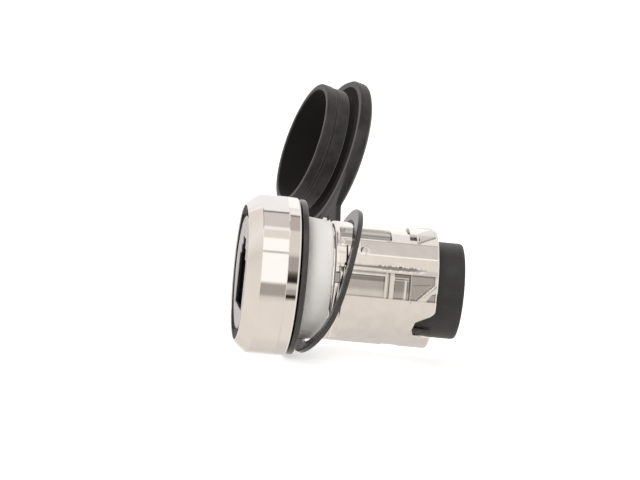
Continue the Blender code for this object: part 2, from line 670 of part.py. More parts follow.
def add_empty(name, parent, matrix):
    empty = bpy.data.objects.new(name, None)
    empty.empty_display_size = EMPTY_SIZE
    bpy.context.scene.collection.objects.link(empty)
    empty.parent = parent
    empty.matrix_local = matrix
    return empty


def add_moulding_frames():
    """Three empties, one on each line where the rubber turns: ring pivot, strap bend and cap bend.

    In the last two, X runs out along the strap, Y lies on the bend and Z points to the front.
    """
    tilt = Matrix.Rotation(math.radians(-RING_TILT), 4, "X")
    seated = Vector((0.0, RING_SEATED_Y, RING_SEATED_Z))
    rest = Vector((0.0, RING_REST_Y, RING_REST_Z))
    swing = rest - seated
    drop = swing.length / 2 / math.tan(math.radians(RING_TILT / 2))
    down = Vector((0.0, swing.z, -swing.y)).normalized()
    pivot = (seated + rest) / 2 + down * drop
    ring_pivot = add_empty("ring_pivot", None, Matrix.Translation(pivot) @ tilt)
    angle = math.radians(STRAP_DIRECTION)
    out = Vector((-math.sin(angle), 0.0, math.cos(angle)))
    front = Vector((0.0, -1.0, 0.0))
    flat = Matrix((out, front.cross(out), front)).transposed().to_4x4()
    flat.translation = seated - pivot + Vector((0.0, HALF_RUBBER, 0.0))
    strap_turn = Matrix.Rotation(math.radians(-STRAP_REST_BEND), 4, "Y")
    strap_place = flat @ Matrix.Translation((RING_ARM, 0.0, 0.0)) @ strap_turn
    strap_bend = add_empty("strap_bend_line", ring_pivot, strap_place)
    cap_turn = Matrix.Rotation(math.radians(-CAP_REST_BEND), 4, "Y")
    cap_place = Matrix.Translation((STRAP_LENGTH, 0.0, 0.0)) @ cap_turn
    cap_bend = add_empty("cap_bend_line", strap_bend, cap_place)
    return ring_pivot, flat, strap_bend, cap_bend


def place_on(obj, parent, shift=None):
    if shift is not None:
        obj.data.transform(shift)
    obj.parent = parent


def build_ring(rubber, ring_pivot, flat):
    half = HALF_RUBBER
    edge = half / 3
    profile = [
        (RING_HOLE_RADIUS, -half),
        (RING_RADIUS - edge, -half),
        (RING_RADIUS, -half + edge),
        (RING_RADIUS, half - edge),
        (RING_RADIUS - edge, half),
        (RING_HOLE_RADIUS, half),
    ]
    ring = turn_profile("tether_ring", profile, FINE_TURN, rubber, axis=(0.0, 0.0, 1.0))
    end = RING_ARM - KNUCKLE_REACH
    root = (RING_HOLE_RADIUS + RING_RADIUS) / 2
    outline = [
        (root, -RING_EAR_HALF_WIDTH),
        (end, -STRAP_HALF_WIDTH),
        (end, STRAP_HALF_WIDTH),
        (root, RING_EAR_HALF_WIDTH),
    ]
    ear = extrude_outline("ring_ear", outline, Matrix.Identity(4), -half, half)
    combine(ring, ear, "UNION")
    for obj in (ring, ear):
        place_on(obj, ring_pivot, flat)
    shade_round(ring)


def build_strap(rubber, strap_bend):
    """A flat strap with a round knuckle on each bend line, wider at the cap's end."""
    half = HALF_RUBBER
    side = arc((0.0, 0.0), half, 270.0, 90.0, 8)
    side += arc((STRAP_LENGTH, 0.0), half, 90.0, -90.0, 8)
    frame = Matrix(((1.0, 0.0, 0.0, 0.0), (0.0, 0.0, 1.0, 0.0), (0.0, 1.0, 0.0, 0.0), (0.0, 0.0, 0.0, 1.0)))
    widest = STRAP_FLARE_HALF_WIDTH
    strap = extrude_outline("cap_strap", side, frame, -widest, widest, rubber)
    narrow_end = STRAP_LENGTH - STRAP_FLARE_LENGTH
    for name, sign in (("strap_side_near", 1.0), ("strap_side_far", -1.0)):
        outline = [
            (-2 * KNUCKLE_REACH, sign * STRAP_HALF_WIDTH),
            (narrow_end, sign * STRAP_HALF_WIDTH),
            (STRAP_LENGTH - half, sign * (widest - SEAT_GAP)),
            (STRAP_LENGTH + 2 * KNUCKLE_REACH, sign * (widest - SEAT_GAP)),
            (STRAP_LENGTH + 2 * KNUCKLE_REACH, sign * 2 * widest),
            (-2 * KNUCKLE_REACH, sign * 2 * widest),
        ]
        side_cutter = extrude_outline(name, outline, Matrix.Identity(4), -2 * half, 2 * half)
        cut(strap, side_cutter)
        place_on(side_cutter, strap_bend)
    place_on(strap, strap_bend)
    shade_round(strap)


def cap_profile():
    """The cap's section in (radius, height): height 0 is the rubber's middle, the plug points up."""
    face = HALF_RUBBER
    back = face - FLANGE_THICKNESS
    mouth = face + PLUG_LENGTH
    band_end = mouth - PLUG_BAND_LENGTH
    groove_end = band_end - PLUG_GROOVE_LENGTH
    neck_top = face + PLUG_NECK_LENGTH
    neck_radius = PLUG_RADIUS - PLUG_NECK_DEPTH
    lip = PLUG_WALL / 3
    floor = face - FLANGE_THICKNESS - DOME_RISE + CAP_FLOOR_THICKNESS
    return [
        (0.0, floor),
        (PLUG_BORE_RADIUS - lip, floor),
        (PLUG_BORE_RADIUS, floor + lip),
        (PLUG_BORE_RADIUS, mouth - lip / 2),
        (PLUG_BORE_RADIUS + lip, mouth),
        (PLUG_RADIUS - lip, mouth),
        (PLUG_RADIUS, mouth - lip),
        (PLUG_RADIUS, band_end),
        (PLUG_RADIUS - PLUG_GROOVE_DEPTH, band_end - PLUG_GROOVE_LENGTH / 2),
        (PLUG_RADIUS - PLUG_GROOVE_DEPTH / 4, groove_end),
        (PLUG_RADIUS - PLUG_GROOVE_DEPTH / 4, neck_top),
        (neck_radius, neck_top - PLUG_GROOVE_LENGTH / 2),
        (neck_radius, face),
        (FLANGE_RADIUS - FLANGE_EDGE, face),
        (FLANGE_RADIUS, face - FLANGE_EDGE),
        (FLANGE_RADIUS, back),
        (FLANGE_RADIUS - DOME_BEVEL, back - DOME_RISE * 0.8),
        (FLANGE_RADIUS * 0.6, back - DOME_RISE * 0.95),
        (0.0, back - DOME_RISE),
    ]


def build_cap(rubber, cap_bend):
    """The hollow plug with its flange; the lift lip is a crescent on the side away from the strap."""
    centre = Matrix.Translation((CAP_ARM, 0.0, 0.0))
    cap = turn_profile("cap", cap_profile(), FINE_TURN, rubber, axis=(0.0, 0.0, 1.0))
    face = HALF_RUBBER
    back = face - FLANGE_THICKNESS
    inner = FLANGE_RADIUS - FLANGE_EDGE
    count = 16
    lip = []
    for i in range(count + 1):
        share = 2 * i / count - 1
        angle = math.radians(LIP_HALF_ANGLE) * share
        radius = FLANGE_RADIUS + LIP_REACH * (1 - share * share) ** 0.75 - FLANGE_EDGE / 2
        lip.append((radius * math.cos(angle), radius * math.sin(angle)))
    lip += [(x * inner / FLANGE_RADIUS * 0.9, y * inner / FLANGE_RADIUS * 0.9) for x, y in lip[::-1]]
    lip_back = back + FLANGE_EDGE / 2
    crescent = extrude_outline("lift_lip", lip, Matrix.Identity(4), lip_back, lip_back + LIP_THICKNESS)
    combine(cap, crescent, "UNION")
    ear_end = -FLANGE_RADIUS - EAR_LENGTH
    ear_root = -math.sqrt(FLANGE_RADIUS**2 - CAP_EAR_HALF_WIDTH**2) + FLANGE_EDGE
    outline = [
        (ear_root, -CAP_EAR_HALF_WIDTH),
        (ear_root, CAP_EAR_HALF_WIDTH),
        (ear_end, STRAP_FLARE_HALF_WIDTH - SEAT_GAP),
        (ear_end, SEAT_GAP - STRAP_FLARE_HALF_WIDTH),
    ]
    ear = extrude_outline("cap_ear", outline, Matrix.Identity(4), -HALF_RUBBER, face - SEAT_GAP / 2)
    combine(cap, ear, "UNION")
    for obj in (cap, crescent, ear):
        place_on(obj, cap_bend, centre)
    shade_round(cap)


def main():
    clear_scene()
    chrome = make_material("chrome", (0.82, 0.79, 0.74), 0.12, 1.0)
    black_rubber = make_material("black_rubber", (0.035, 0.033, 0.034), 0.55)
    black_plastic = make_material("black_plastic", (0.03, 0.03, 0.032), 0.45)
    white_plastic = make_material("white_plastic", (0.74, 0.72, 0.70), 0.4)
    grey_plastic = make_material("grey_plastic", (0.52, 0.49, 0.53), 0.4)
    gold = make_material("gold_plate", (0.83, 0.62, 0.26), 0.25, 1.0)
    green = make_material("board_green", (0.02, 0.12, 0.05), 0.4)
    build_bezel(chrome)
    build_gasket(black_rubber)
    build_groove_seal(black_rubber)
    build_collar(white_plastic)
    build_barrel(chrome)
    build_insert(grey_plastic)
    build_front_jack(black_plastic)
    build_board(green)
    build_rear_jack(black_plastic)
    build_contacts("front_contact", gold, BOARD_FRONT_Y - SEAT_GAP, JACK_FACE_Y, 1.0)
    build_contacts("rear_contact", gold, BOARD_REAR_Y + SEAT_GAP, REAR_END_Y, -1.0)
    ring_pivot, flat, strap_bend, cap_bend = add_moulding_frames()
    build_ring(black_rubber, ring_pivot, flat)
    build_strap(black_rubber, strap_bend)
    build_cap(black_rubber, cap_bend)


main()
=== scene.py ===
"""Looks of the panel mount ethernet socket, laid out as a Blender add-on.

Each group of pieces has an operator and a group of named sizes. The sizes are in metres and in the
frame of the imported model: the socket's axis is Y, the plug enters from -Y, +Z is up. The barrel's
features are in millimetres, because its wall is worked in them.
"""

import json
import math

import bmesh
import bpy
import numpy as np
from bpy.props import FloatProperty, FloatVectorProperty, IntProperty, PointerProperty
from mathutils import Matrix, Vector


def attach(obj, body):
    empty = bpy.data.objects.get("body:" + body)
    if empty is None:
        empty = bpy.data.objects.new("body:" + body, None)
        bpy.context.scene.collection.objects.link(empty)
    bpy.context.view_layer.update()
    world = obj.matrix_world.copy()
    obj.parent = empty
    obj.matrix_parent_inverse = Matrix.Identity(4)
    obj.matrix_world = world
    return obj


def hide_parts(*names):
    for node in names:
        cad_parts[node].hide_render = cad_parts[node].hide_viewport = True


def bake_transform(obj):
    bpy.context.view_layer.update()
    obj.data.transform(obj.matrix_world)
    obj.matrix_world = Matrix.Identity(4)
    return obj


bl_info = {
    "name": "Panel mount ethernet socket looks",
    "version": (1, 0, 0),
    "blender": (4, 5, 0),
    "location": "View3D > Sidebar > Socket",
    "description": "Builds the pieces, materials, studio and camera of a panel mount ethernet socket",
    "category": "Object",
}

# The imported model, with its nodes and joints
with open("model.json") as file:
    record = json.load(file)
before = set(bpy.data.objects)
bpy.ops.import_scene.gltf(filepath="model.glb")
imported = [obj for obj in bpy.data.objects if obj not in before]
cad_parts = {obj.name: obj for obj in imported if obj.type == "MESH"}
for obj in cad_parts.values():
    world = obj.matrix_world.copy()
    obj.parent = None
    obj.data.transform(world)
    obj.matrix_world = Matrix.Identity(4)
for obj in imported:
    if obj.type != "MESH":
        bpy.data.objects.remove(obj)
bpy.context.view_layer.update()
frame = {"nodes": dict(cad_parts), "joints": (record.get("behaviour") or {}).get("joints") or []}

MM = 0.001
# The rubber's bends at rest, in degrees, and the bend lines' distance from the ring's and the cap's centre
STRAP_REST_BEND = 3.9
CAP_REST_BEND = 4.2
BEND_ARM = 0.0157
# How far the strap's halves reach past the two bends into the ring and the cap
STRAP_ROOT = 2.2 * MM
STRAP_TIP = 2.1 * MM

# Centre and half size of the key on the collar
KEY_CENTRE = (0.0, 3.75 * MM, 10.85 * MM)
KEY_HALF = (0.8 * MM, 0.35 * MM, 0.5 * MM)
# Half the floor's side, how much light it gives back, and the light it adds where the camera sees it
FLOOR_HALF = 2.5
FLOOR_PAINT = 0.9
FLOOR_GLOW = 0.55

# Groups of named sizes


def length(name, description, default):
    return FloatProperty(name=name, description=description, default=default, unit="LENGTH", precision=5)


def angle(name, description, degrees):
    return FloatProperty(name=name, description=description, default=math.radians(degrees), subtype="ANGLE")


def number(name, description, default):
    return FloatProperty(name=name, description=description, default=default)


def count(name, description, default):
    return IntProperty(name=name, description=description, default=default, min=3)


def srgb(red, green, blue):
    """Linear colour of an sRGB tone written in 0 to 255."""

    def linear(value):
        share = value / 255
        return share / 12.92 if share <= 0.04045 else ((share + 0.055) / 1.055) ** 2.4

    return linear(red), linear(green), linear(blue)


def tint(name, description, red, green, blue):
    return FloatVectorProperty(
        name=name, description=description, subtype="COLOR", min=0, max=1, default=srgb(red, green, blue),
    )


class BezelSizes(bpy.types.PropertyGroup):
    radius: length("Radius", "Outer radius of the front ring", 0.0145)
    front: length("Front", "Place of the front face along the axis", -0.01083)
    chamfer: length("Chamfer", "Length of the sloping front along the axis", 0.0024)
    rim: length("Rim", "Outer radius of the flat front rim", 0.0126)
    recess: length("Recess", "Radius of the recess", 0.0123)
    recess_depth: length("Recess depth", "Depth of the recess", 0.0063)
    rear: length("Rear", "Place of the rear face along the axis", -0.0014)
    web_bore: length("Web bore", "Radius of the hole in the recess's floor", 0.0102)
    chamfer_bulge: length("Chamfer bulge", "Rise of the chamfer's middle", 0.00003)
    taper_from: length("Taper start", "Where the outside starts to narrow towards the rear", -0.0036)
    taper_drop: length("Taper drop", "How much the radius narrows by the rear edge", 0.00011)
    edge: length("Edge", "Radius of the rounded edges", 0.00022)
    rear_edge: length("Rear edge", "Radius of the rounding in front of the gasket", 0.0003)
    web_edge: length("Web edge", "Radius of the rounding of the recess floor's hole", 0.0002)
    # Painted shade: the recess wall deeper than this is painted near black
    shade_from: length("Shade", "How deep in the recess its wall turns dark", 0.0016)
    steps: count("Steps", "Faces round the ring", 288)


class SealSizes(bpy.types.PropertyGroup):
    gasket: length("Gasket radius", "Outer radius of the gasket", 0.0142)
    gasket_bore: length("Gasket bore", "Radius of the gasket's hole", 0.0116)
    gasket_front: length("Gasket front", "Place of the gasket's front face along the axis", -0.0011)
    gasket_edge: length("Gasket edge", "Rounding of the gasket's edges", 0.00028)
    collar: length("Collar radius", "Largest radius of the collar", 0.0113)
    collar_small: length("Collar's rear radius", "Radius of the collar's rear end", 0.0108)
    collar_bore: length("Collar bore", "Radius of the collar's hole", 0.0102)
    collar_front: length("Collar front", "Place of the collar's front end", -0.0011)
    collar_knee: length("Collar knee", "Place where the collar starts to narrow", 0.0003)
    collar_rear: length("Collar rear", "Place of the collar's rear end", 0.0050)
    collar_edge: length("Collar edge", "Rounding of the collar's rear edge", 0.00045)
    steps: count("Steps", "Faces round the seals", 256)


class BarrelSizes(bpy.types.PropertyGroup):
    radius: length("Radius", "Radius of the barrel", 0.0109)
    bore: length("Bore", "Radius of the barrel's bore", 0.0091)
    neck: length("Neck", "Radius of the neck that holds the bezel", 0.0099)
    neck_front: length("Neck front", "Place of the neck's front end", -0.00423)
    front: length("Front", "Place of the shoulder behind the collar", 0.0053)
    rear: length("Rear", "Place of the barrel's rear end", 0.0244)
    edge: length("Edge", "Rounding of the barrel's end edges", 0.0003)
    wall: length("Wall slope", "Width over which a cast wall rises", 0.00013)
    floor: length("Pocket floor", "Distance of the pockets' floors from the axis", 0.0100)
    top: length("Flat top", "Height of the flat top", 0.0105)
    facet: length("Facet", "Distance of the long facet from the axis", 0.01078)
    knee: length("Knee", "Place behind which the rows follow the slanted cut-out", 0.019)
    bore_step: length("Bore step", "Place where the wide bore starts", 0.0075)


class RubberSizes(bpy.types.PropertyGroup):
    ring_radius: length("Ring radius", "Outer radius of the tether ring", 0.01415)
    ring_hole: length("Ring hole", "Inner radius of the tether ring", 0.0119)
    ring_bow: length("Ring bow", "How far the hanging ring bends rearwards", 0.0014)
    thickness: length("Thickness", "Thickness of the ring and the strap", 0.0010)
    edge: length("Ring edge", "Rounding of the tether ring's edges", 0.00022)
    strap: length("Strap half width", "Half the strap's width", 0.0015)
    root_spread: length("Root spread", "How much wider each side of the strap gets at the ring", 0.0013)
    tip_spread: length("Tip spread", "How much wider each side of the strap gets at the cap", 0.0046)
    flange: length("Flange radius", "Radius of the cap's flange", 0.0146)
    flange_thickness: length("Flange thickness", "Thickness of the flange", 0.0021)
    plug: length("Plug radius", "Outer radius of the cap's plug", 0.01205)
    plug_bore: length("Plug bore", "Inner radius of the cap's plug", 0.01085)
    plug_length: length("Plug length", "How far the plug stands out of the flange", 0.0058)
    dome: length("Dome", "Rise of the cap's back", 0.0010)
    cap_floor: length("Cap floor", "Thickness of the cap's floor", 0.0019)
    lip: length("Lip", "How far the lift lip stands out", 0.0013)
    lip_angle: angle("Lip angle", "Half the angle that the lip covers", 46.0)
    steps: count("Steps", "Faces round the ring and the cap", 256)


class FinishColours(bpy.types.PropertyGroup):
    plating: tint("Plating", "What the bright front ring gives back", 248, 246, 244)
    casting: tint("Casting", "What the plated barrel gives back", 248, 246, 244)
    seal: tint("Ring and gasket", "Rubber of the tether ring and the gasket", 51, 49, 49)
    lid: tint("Cap", "Rubber of the cap", 53, 51, 51)
    strap: tint("Strap", "Rubber of the strap", 46, 44, 44)
    housing: tint("Jacks", "Plastic of both jacks", 44, 42, 43)
    collar: tint("Collar", "Milky plastic of the collar", 224, 220, 216)
    insert: tint("Insert", "Plastic of the face round the window", 184, 178, 178)
    wire: tint("Contacts", "Gold of the contacts", 243, 213, 153)
    board: tint("Board", "Resist of the board", 38, 93, 59)
    specks: tint("Specks", "Dust on the rubber", 92, 90, 90)


class StudioSizes(bpy.types.PropertyGroup):
    focal: number("Focal length", "Focal length in millimetres on a 36 mm sensor", 252.96)
    distance: length("Distance", "Camera's distance from the origin", 0.8226)
    azimuth: angle("Azimuth", "Direction that the camera looks from", 83.08)
    elevation: angle("Elevation", "Camera's height over the horizon", 8.0)
    roll: angle("Roll", "Camera's roll", 6.18)
    shift_x: length("Side step", "Camera's sideways place", -0.00398)
    shift_y: length("Up step", "Camera's upward place", -0.00681)
    floor: length("Floor", "Height of the floor", -0.01455)
    world: number("World", "Strength of the light from all sides", 0.58)
    top_power: number("Top light", "Power of the lamp above", 2.2)
    side_power: number("Side light", "Power of the lamp beside the camera", 1.8)


# Mesh helpers


def add_mesh(name, verts, faces):
    mesh = bpy.data.meshes.new(name)
    mesh.from_pydata(np.asarray(verts, float).tolist(), [], [list(f) for f in faces])
    mesh.update()
    obj = bpy.data.objects.new(name, mesh)
    bpy.context.scene.collection.objects.link(obj)
    mesh.shade_smooth()
    return obj


def face_outward(obj):
    bm = bmesh.new()
    bm.from_mesh(obj.data)
    bmesh.ops.remove_doubles(bm, verts=bm.verts[:], dist=1e-7)
    bmesh.ops.recalc_face_normals(bm, faces=bm.faces[:])
    bm.to_mesh(obj.data)
    bm.free()


def grid_faces(rows, columns, wrap_rows, wrap_columns):
    """Quads of a grid whose vertex numbers run along the columns first."""
    i = np.arange(rows if wrap_rows else rows - 1)
    j = np.arange(columns if wrap_columns else columns - 1)
    i, j = np.meshgrid(i, j, indexing="ij")
    down, right = (i + 1) % rows, (j + 1) % columns
    quads = np.stack([i * columns + j, down * columns + j, down * columns + right, i * columns + right], -1)
    return quads.reshape(-1, 4)


def fillet(points, radii, steps=4):
    """A closed outline with each corner replaced by an arc of its own radius."""
    out = []
    n = len(points)
    for k in range(n):
        here = np.array(points[k], float)
        a = np.array(points[k - 1], float) - here
        b = np.array(points[(k + 1) % n], float) - here
        la, lb = np.hypot(*a), np.hypot(*b)
        a, b = a / la, b / lb
        r = radii[k] if isinstance(radii, (list, tuple)) else radii
        half = math.acos(np.clip(a @ b, -1, 1)) / 2
        if r <= 0 or half > math.radians(89.5):
            out.append(tuple(here))
            continue
        cut = min(r / math.tan(half), 0.45 * la, 0.45 * lb)
        r = cut * math.tan(half)
        middle = (a + b) / np.hypot(*(a + b))
        centre = here + middle * r / math.sin(half)
        start, end = here + a * cut - centre, here + b * cut - centre
        turn = math.atan2(start[0] * end[1] - start[1] * end[0], start @ end)
        for s in np.linspace(0, 1, steps + 1):
            c, d = math.cos(turn * s), math.sin(turn * s)
            out.append((centre[0] + start[0] * c - start[1] * d, centre[1] + start[0] * d + start[1] * c))
    return out


# How far from a corner the points lie that keep a lathed piece's long sides flat
SMOOTH_MARGIN = 0.12 * MM


def with_margins(outline, margin):
    """The closed outline with a point near each end of its long sides, so that they stay flat when smooth."""
    points = np.array(outline)
    out = []
    for here, there in zip(points, np.roll(points, -1, 0)):
        out.append(here)
        along = there - here
        size = np.hypot(*along)
        if size > 3 * margin:
            out += [here + along * margin / size, there - along * margin / size]
    return out


def lathe(name, profile, steps, swell=None):
    """A closed ring: each (radius, place) point of the closed profile is turned once round the Y axis.

    A point at turn a lies at (radius cos a, place, radius sin a). swell may return a change of the
    radius for each (turn, row).
    """
    profile = np.array(with_margins(profile, SMOOTH_MARGIN))
    turn = np.arange(steps) * math.tau / steps
    radius = np.repeat(profile[:, :1], steps, 1)
    if swell is not None:
        radius = radius + swell(turn, profile)
    place = np.repeat(profile[:, 1:], steps, 1)
    verts = np.stack([radius * np.cos(turn), place, radius * np.sin(turn)], -1).reshape(-1, 3)
    faces = grid_faces(len(profile), steps, True, True)
    obj = add_mesh(name, verts, faces)
    face_outward(obj)
    return obj


def store(obj, name, values):
    """Stores a number for each point, which a material reads by its name."""
    attribute = obj.data.attributes.new(name, "FLOAT", "POINT")
    attribute.data.foreach_set("value", np.ravel(values).astype(float))


def mark_painted_shade(obj, inside):
    """Stores 1 on the points that inside(radius, place) picks, where a surface sees little light and gets
    painted shade.
    """
    co = np.empty(len(obj.data.vertices) * 3)
    obj.data.vertices.foreach_get("co", co)
    co = co.reshape(-1, 3)
    store(obj, "inner", inside(np.hypot(co[:, 0], co[:, 2]), co[:, 1]))


def rounded_block(name, centre, half, power, rows=24, columns=48):
    """A superellipsoid: each side's half size times signed powers of the cosines and sines of two turns."""
    rise = np.linspace(-math.pi / 2, math.pi / 2, rows)[:, None]
    turn = (np.arange(columns) * math.tau / columns)[None]

    def curved(x):
        return np.sign(x) * np.abs(x) ** power

    flat = curved(np.cos(rise))
    parts = (flat * curved(np.cos(turn)), flat * curved(np.sin(turn)), curved(np.sin(rise)) + 0 * turn)
    verts = np.stack([centre[k] + half[k] * parts[k] for k in range(3)], -1).reshape(-1, 3)
    obj = add_mesh(name, verts, grid_faces(rows, columns, False, True))
    face_outward(obj)
    return obj


def smooth_step(x):
    x = np.clip(x, 0, 1)
    return x * x * (3 - 2 * x)


def inside_polygon(x, y, corners):
    """Signed distance into a convex polygon, positive inside: the least distance to any edge's line."""
    corners = np.array(corners, float)
    centre = corners.mean(0)
    best = np.full(np.shape(x), np.inf)
    for p, q in zip(corners, np.roll(corners, -1, 0)):
        e = (q - p) / np.hypot(*(q - p))
        n = np.array([-e[1], e[0]])
        if (centre - p) @ n < 0:
            n = -n
        best = np.minimum(best, (x - p[0]) * n[0] + (y - p[1]) * n[1])
    return best


# The die-cast barrel

# Turns of the barrel's features, in degrees up from the side
POCKET_TURN = 8
NOTCH_TURN = 12
SCORE_TURN = 25.2
PIP_TURN = 41.5
FACET_TURN = 46
UNDERCUT_TURN = 60
CHANNEL_TURN = 63.8
BLOCK_TURN = 65.5
LUG_TURN = 70
SLOT_TURN = 79
TOP_TURN = 90
# Where they start and end, in millimetres behind the barrel's shoulder
FACET_FROM = 4.4
FLAT_SPAN = (4.3, 13.5)
CHANNEL_SPAN = (1.1, 10.3)
SCORE_FROM = 1.8
SCORE_ROUGH = (5.7, 10.7)
SCORE_FADE = (14.2, 17.2)
PIP_PLACE = 5.4
FIRST_POCKET = (2.5, 9.2)
SECOND_POCKET = (11.0, 13.95)
DEEP_SPAN = (11.2, 13.4)
UPRIGHT_BAR = (13.1, 13.5)
LEVEL_BAR = (11.0, 13.8)
BAR_FOOT = 13.55
REAR_SIDE = (13.75, 14.05)
RIB_SPAN = (1.9, 9.4)
SLIT_SPAN = (9.72, 10.08)
THIRD_POCKET = (14.2, 18.35)
BEAD_SPAN = (2.3, 14.2)
EDGE_SPAN = (2.3, 18.3)
GROOVE_SPAN = (1.0, 1.75)
PAD_SPAN = (0.2, 2.1)
NOTCH_SPAN = (-1.0, 1.1)
SLOT_SPAN = (13.45, 13.8)
BLOCK_SPAN = (13.8, 15.0)
LUG_SPAN = (15.2, 18.5)
BOTTOM_SPAN = (10.8, 13.7)
# Sizes across the wall, in millimetres
POCKET_HALF = 2.3
FIRST_POCKET_TOP = 1.6
DEEP_TOP = 1.5
BAR_KNEE = 1.2
BAR_TOP = 1.75
CHANNEL_HALF = 1.8
CHANNEL_CORNER = 0.9
PIP_RADIUS = 0.75
# Distances of the sunk floors from the axis, in millimetres
CHANNEL_FLOOR = 10.12
DEEP_FLOOR = 9.8
NOTCH_FLOOR = 9.95
SLOT_FLOOR = 9.8
BLOCK_FLOOR = 10.1
UNDERCUT_FLOOR = 10.75
BOTTOM_FLOOR = 10.35
# The scored line wanders by the sum of these sines: height, turn per millimetre and start
SCORE_WAVES = ((0.03, 3.1, 0), (0.02, 6.7, 1), (0.015, 12.3, 2))
# The slanted cut-out: how far the wall's end lies forward, in millimetres, at each turn in degrees
CUT_OUT = (
    (-46.2, 0.0), (-45.4, 3.35), (-38.0, 3.7), (-37.0, 3.7),
    (-27.0, 3.3), (-20.0, 0.9), (-17.5, 0.35), (-15.0, 0.0),
)


class Wall:
    """The cast wall while it is worked, in millimetres: a radius and an amount of painted shade at each
    point.

    Both sides are alike, so the turn is folded to -90..90 degrees. In the local frame of an angle c
    the wall's sideways place is R sin(turn - c), and a plane at distance n from the axis is at radius
    n / cos(turn - c). Each flat, pocket, groove and rib is a plane's radius mixed in by a mask that
    rises over the width of a cast wall. The painted shade, a darker tone in hollows and creases that
    stands in for the light they hold back, grows by a share of what is left, mask by mask.
    """

    def __init__(self, turn, place, s):
        self.fold = np.arctan2(np.sin(turn), np.abs(np.cos(turn)))
        self.y = (place - s.front) / MM
        self.big = s.radius / MM
        self.edge = s.wall / MM
        self.radius = np.full(np.shape(self.y), self.big)
        self.stain = np.zeros(np.shape(self.y))

    def across(self, degrees):
        return self.big * np.sin(self.fold - math.radians(degrees))

    def plane(self, degrees, distance):
        return distance / np.maximum(np.cos(self.fold - math.radians(degrees)), 0.2)

    def between(self, span):
        return np.minimum(self.y - span[0], span[1] - self.y)

    def box(self, across, span, low, high):
        """Distance into a box that runs along a span and from low to high across."""
        return np.minimum(self.between(span), np.minimum(across - low, high - across))

    def mask(self, depth, width=None):
        """1 inside and 0 outside, where depth is the distance inside, rising over the width."""
        return smooth_step(depth / (width or self.edge) + 0.5)

    def sink(self, mask, target):
        self.radius = self.radius + (np.minimum(target, self.radius) - self.radius) * mask

    def lift(self, mask, height):
        self.radius = self.radius + height * mask

    # Adds painted shade: a share of the mask darkens what light is left
    def darken(self, mask, share):
        self.stain = 1 - (1 - self.stain) * (1 - share * mask)


def cast_flats(w, s):
    """The long facet with its softened edges, the flat top and the flat at the bottom."""
    over = w.plane(FACET_TURN, s.facet / MM) - w.big
    softness = 0.025
    w.sink(w.mask(w.y - FACET_FROM, width=0.3), w.big + (over - np.hypot(over, softness)) / 2)
    w.sink(w.mask(w.between(FLAT_SPAN)), w.plane(TOP_TURN, s.top / MM))
    lowest, side = math.radians(-135), math.radians(-58)
    bottom = w.mask(w.box(w.fold, BOTTOM_SPAN, lowest, side), width=0.2)
    w.sink(bottom, w.plane(-TOP_TURN, BOTTOM_FLOOR))


def cast_channel(w):
    """The channel: a trough with a round end, deepest a little below its middle, with painted shade in it."""
    across = w.across(CHANNEL_TURN)
    beyond = np.maximum(w.y - (CHANNEL_SPAN[1] - CHANNEL_CORNER), 0)
    beside = np.maximum(np.abs(across) - (CHANNEL_HALF - CHANNEL_CORNER), 0)
    channel = w.mask(np.minimum(CHANNEL_CORNER - np.hypot(beyond, beside), w.y - CHANNEL_SPAN[0]))
    deepest, reach, rise = -0.3, 1.6, 0.42
    bowl = rise * np.clip((across - deepest) / reach, -1, 1) ** 2
    w.sink(channel, w.plane(CHANNEL_TURN, CHANNEL_FLOOR + bowl))
    # Painted shade on the channel's upper part and along a streak just below its middle
    upper = w.mask(across + 0.5, width=0.7)
    shade_streak = w.mask(0.35 - np.abs(across + 0.25), width=0.5)
    w.darken(channel * upper, share=0.42)
    w.darken(channel * shade_streak, share=0.3)


def cast_score(w, start):
    """The scored line, rougher towards the rear, where it fades, darkened by painted shade. Gives back its
    broken tone.

    The painted shade's tone is a sine along the line, hurried and slowed by a slower one, times a sine across
    it.
    """
    y = w.y + start
    rough = smooth_step((w.y - SCORE_ROUGH[0]) / (SCORE_ROUGH[1] - SCORE_ROUGH[0]))
    fade = 1 - smooth_step((w.y - SCORE_FADE[0]) / (SCORE_FADE[1] - SCORE_FADE[0]))
    wave = sum(height * np.sin(y * rate + at) for height, rate, at in SCORE_WAVES)
    across = w.across(SCORE_TURN) + rough * wave
    half = 0.22 + 0.12 * rough
    score = np.minimum(half - np.abs(across), w.y - SCORE_FROM)
    broken = 0.75 + 0.25 * np.sin(y * 9.1 + 2 * np.sin(y * 3.7)) * np.sin(across * 17 + y * 5)
    depth = 0.08 * fade
    w.sink(w.mask(score, width=0.3), w.big - depth)
    # Painted shade along the scored line, broken along it and fading towards the rear
    w.darken(w.mask(score, width=0.2) * (0.4 + 0.6 * broken), share=0.75 * fade)
    return broken


def cast_pip(w):
    """The round pip on the facet."""
    pip = PIP_RADIUS - np.hypot(w.across(PIP_TURN), w.y - PIP_PLACE)
    w.lift(w.mask(pip, width=0.2), height=0.1)


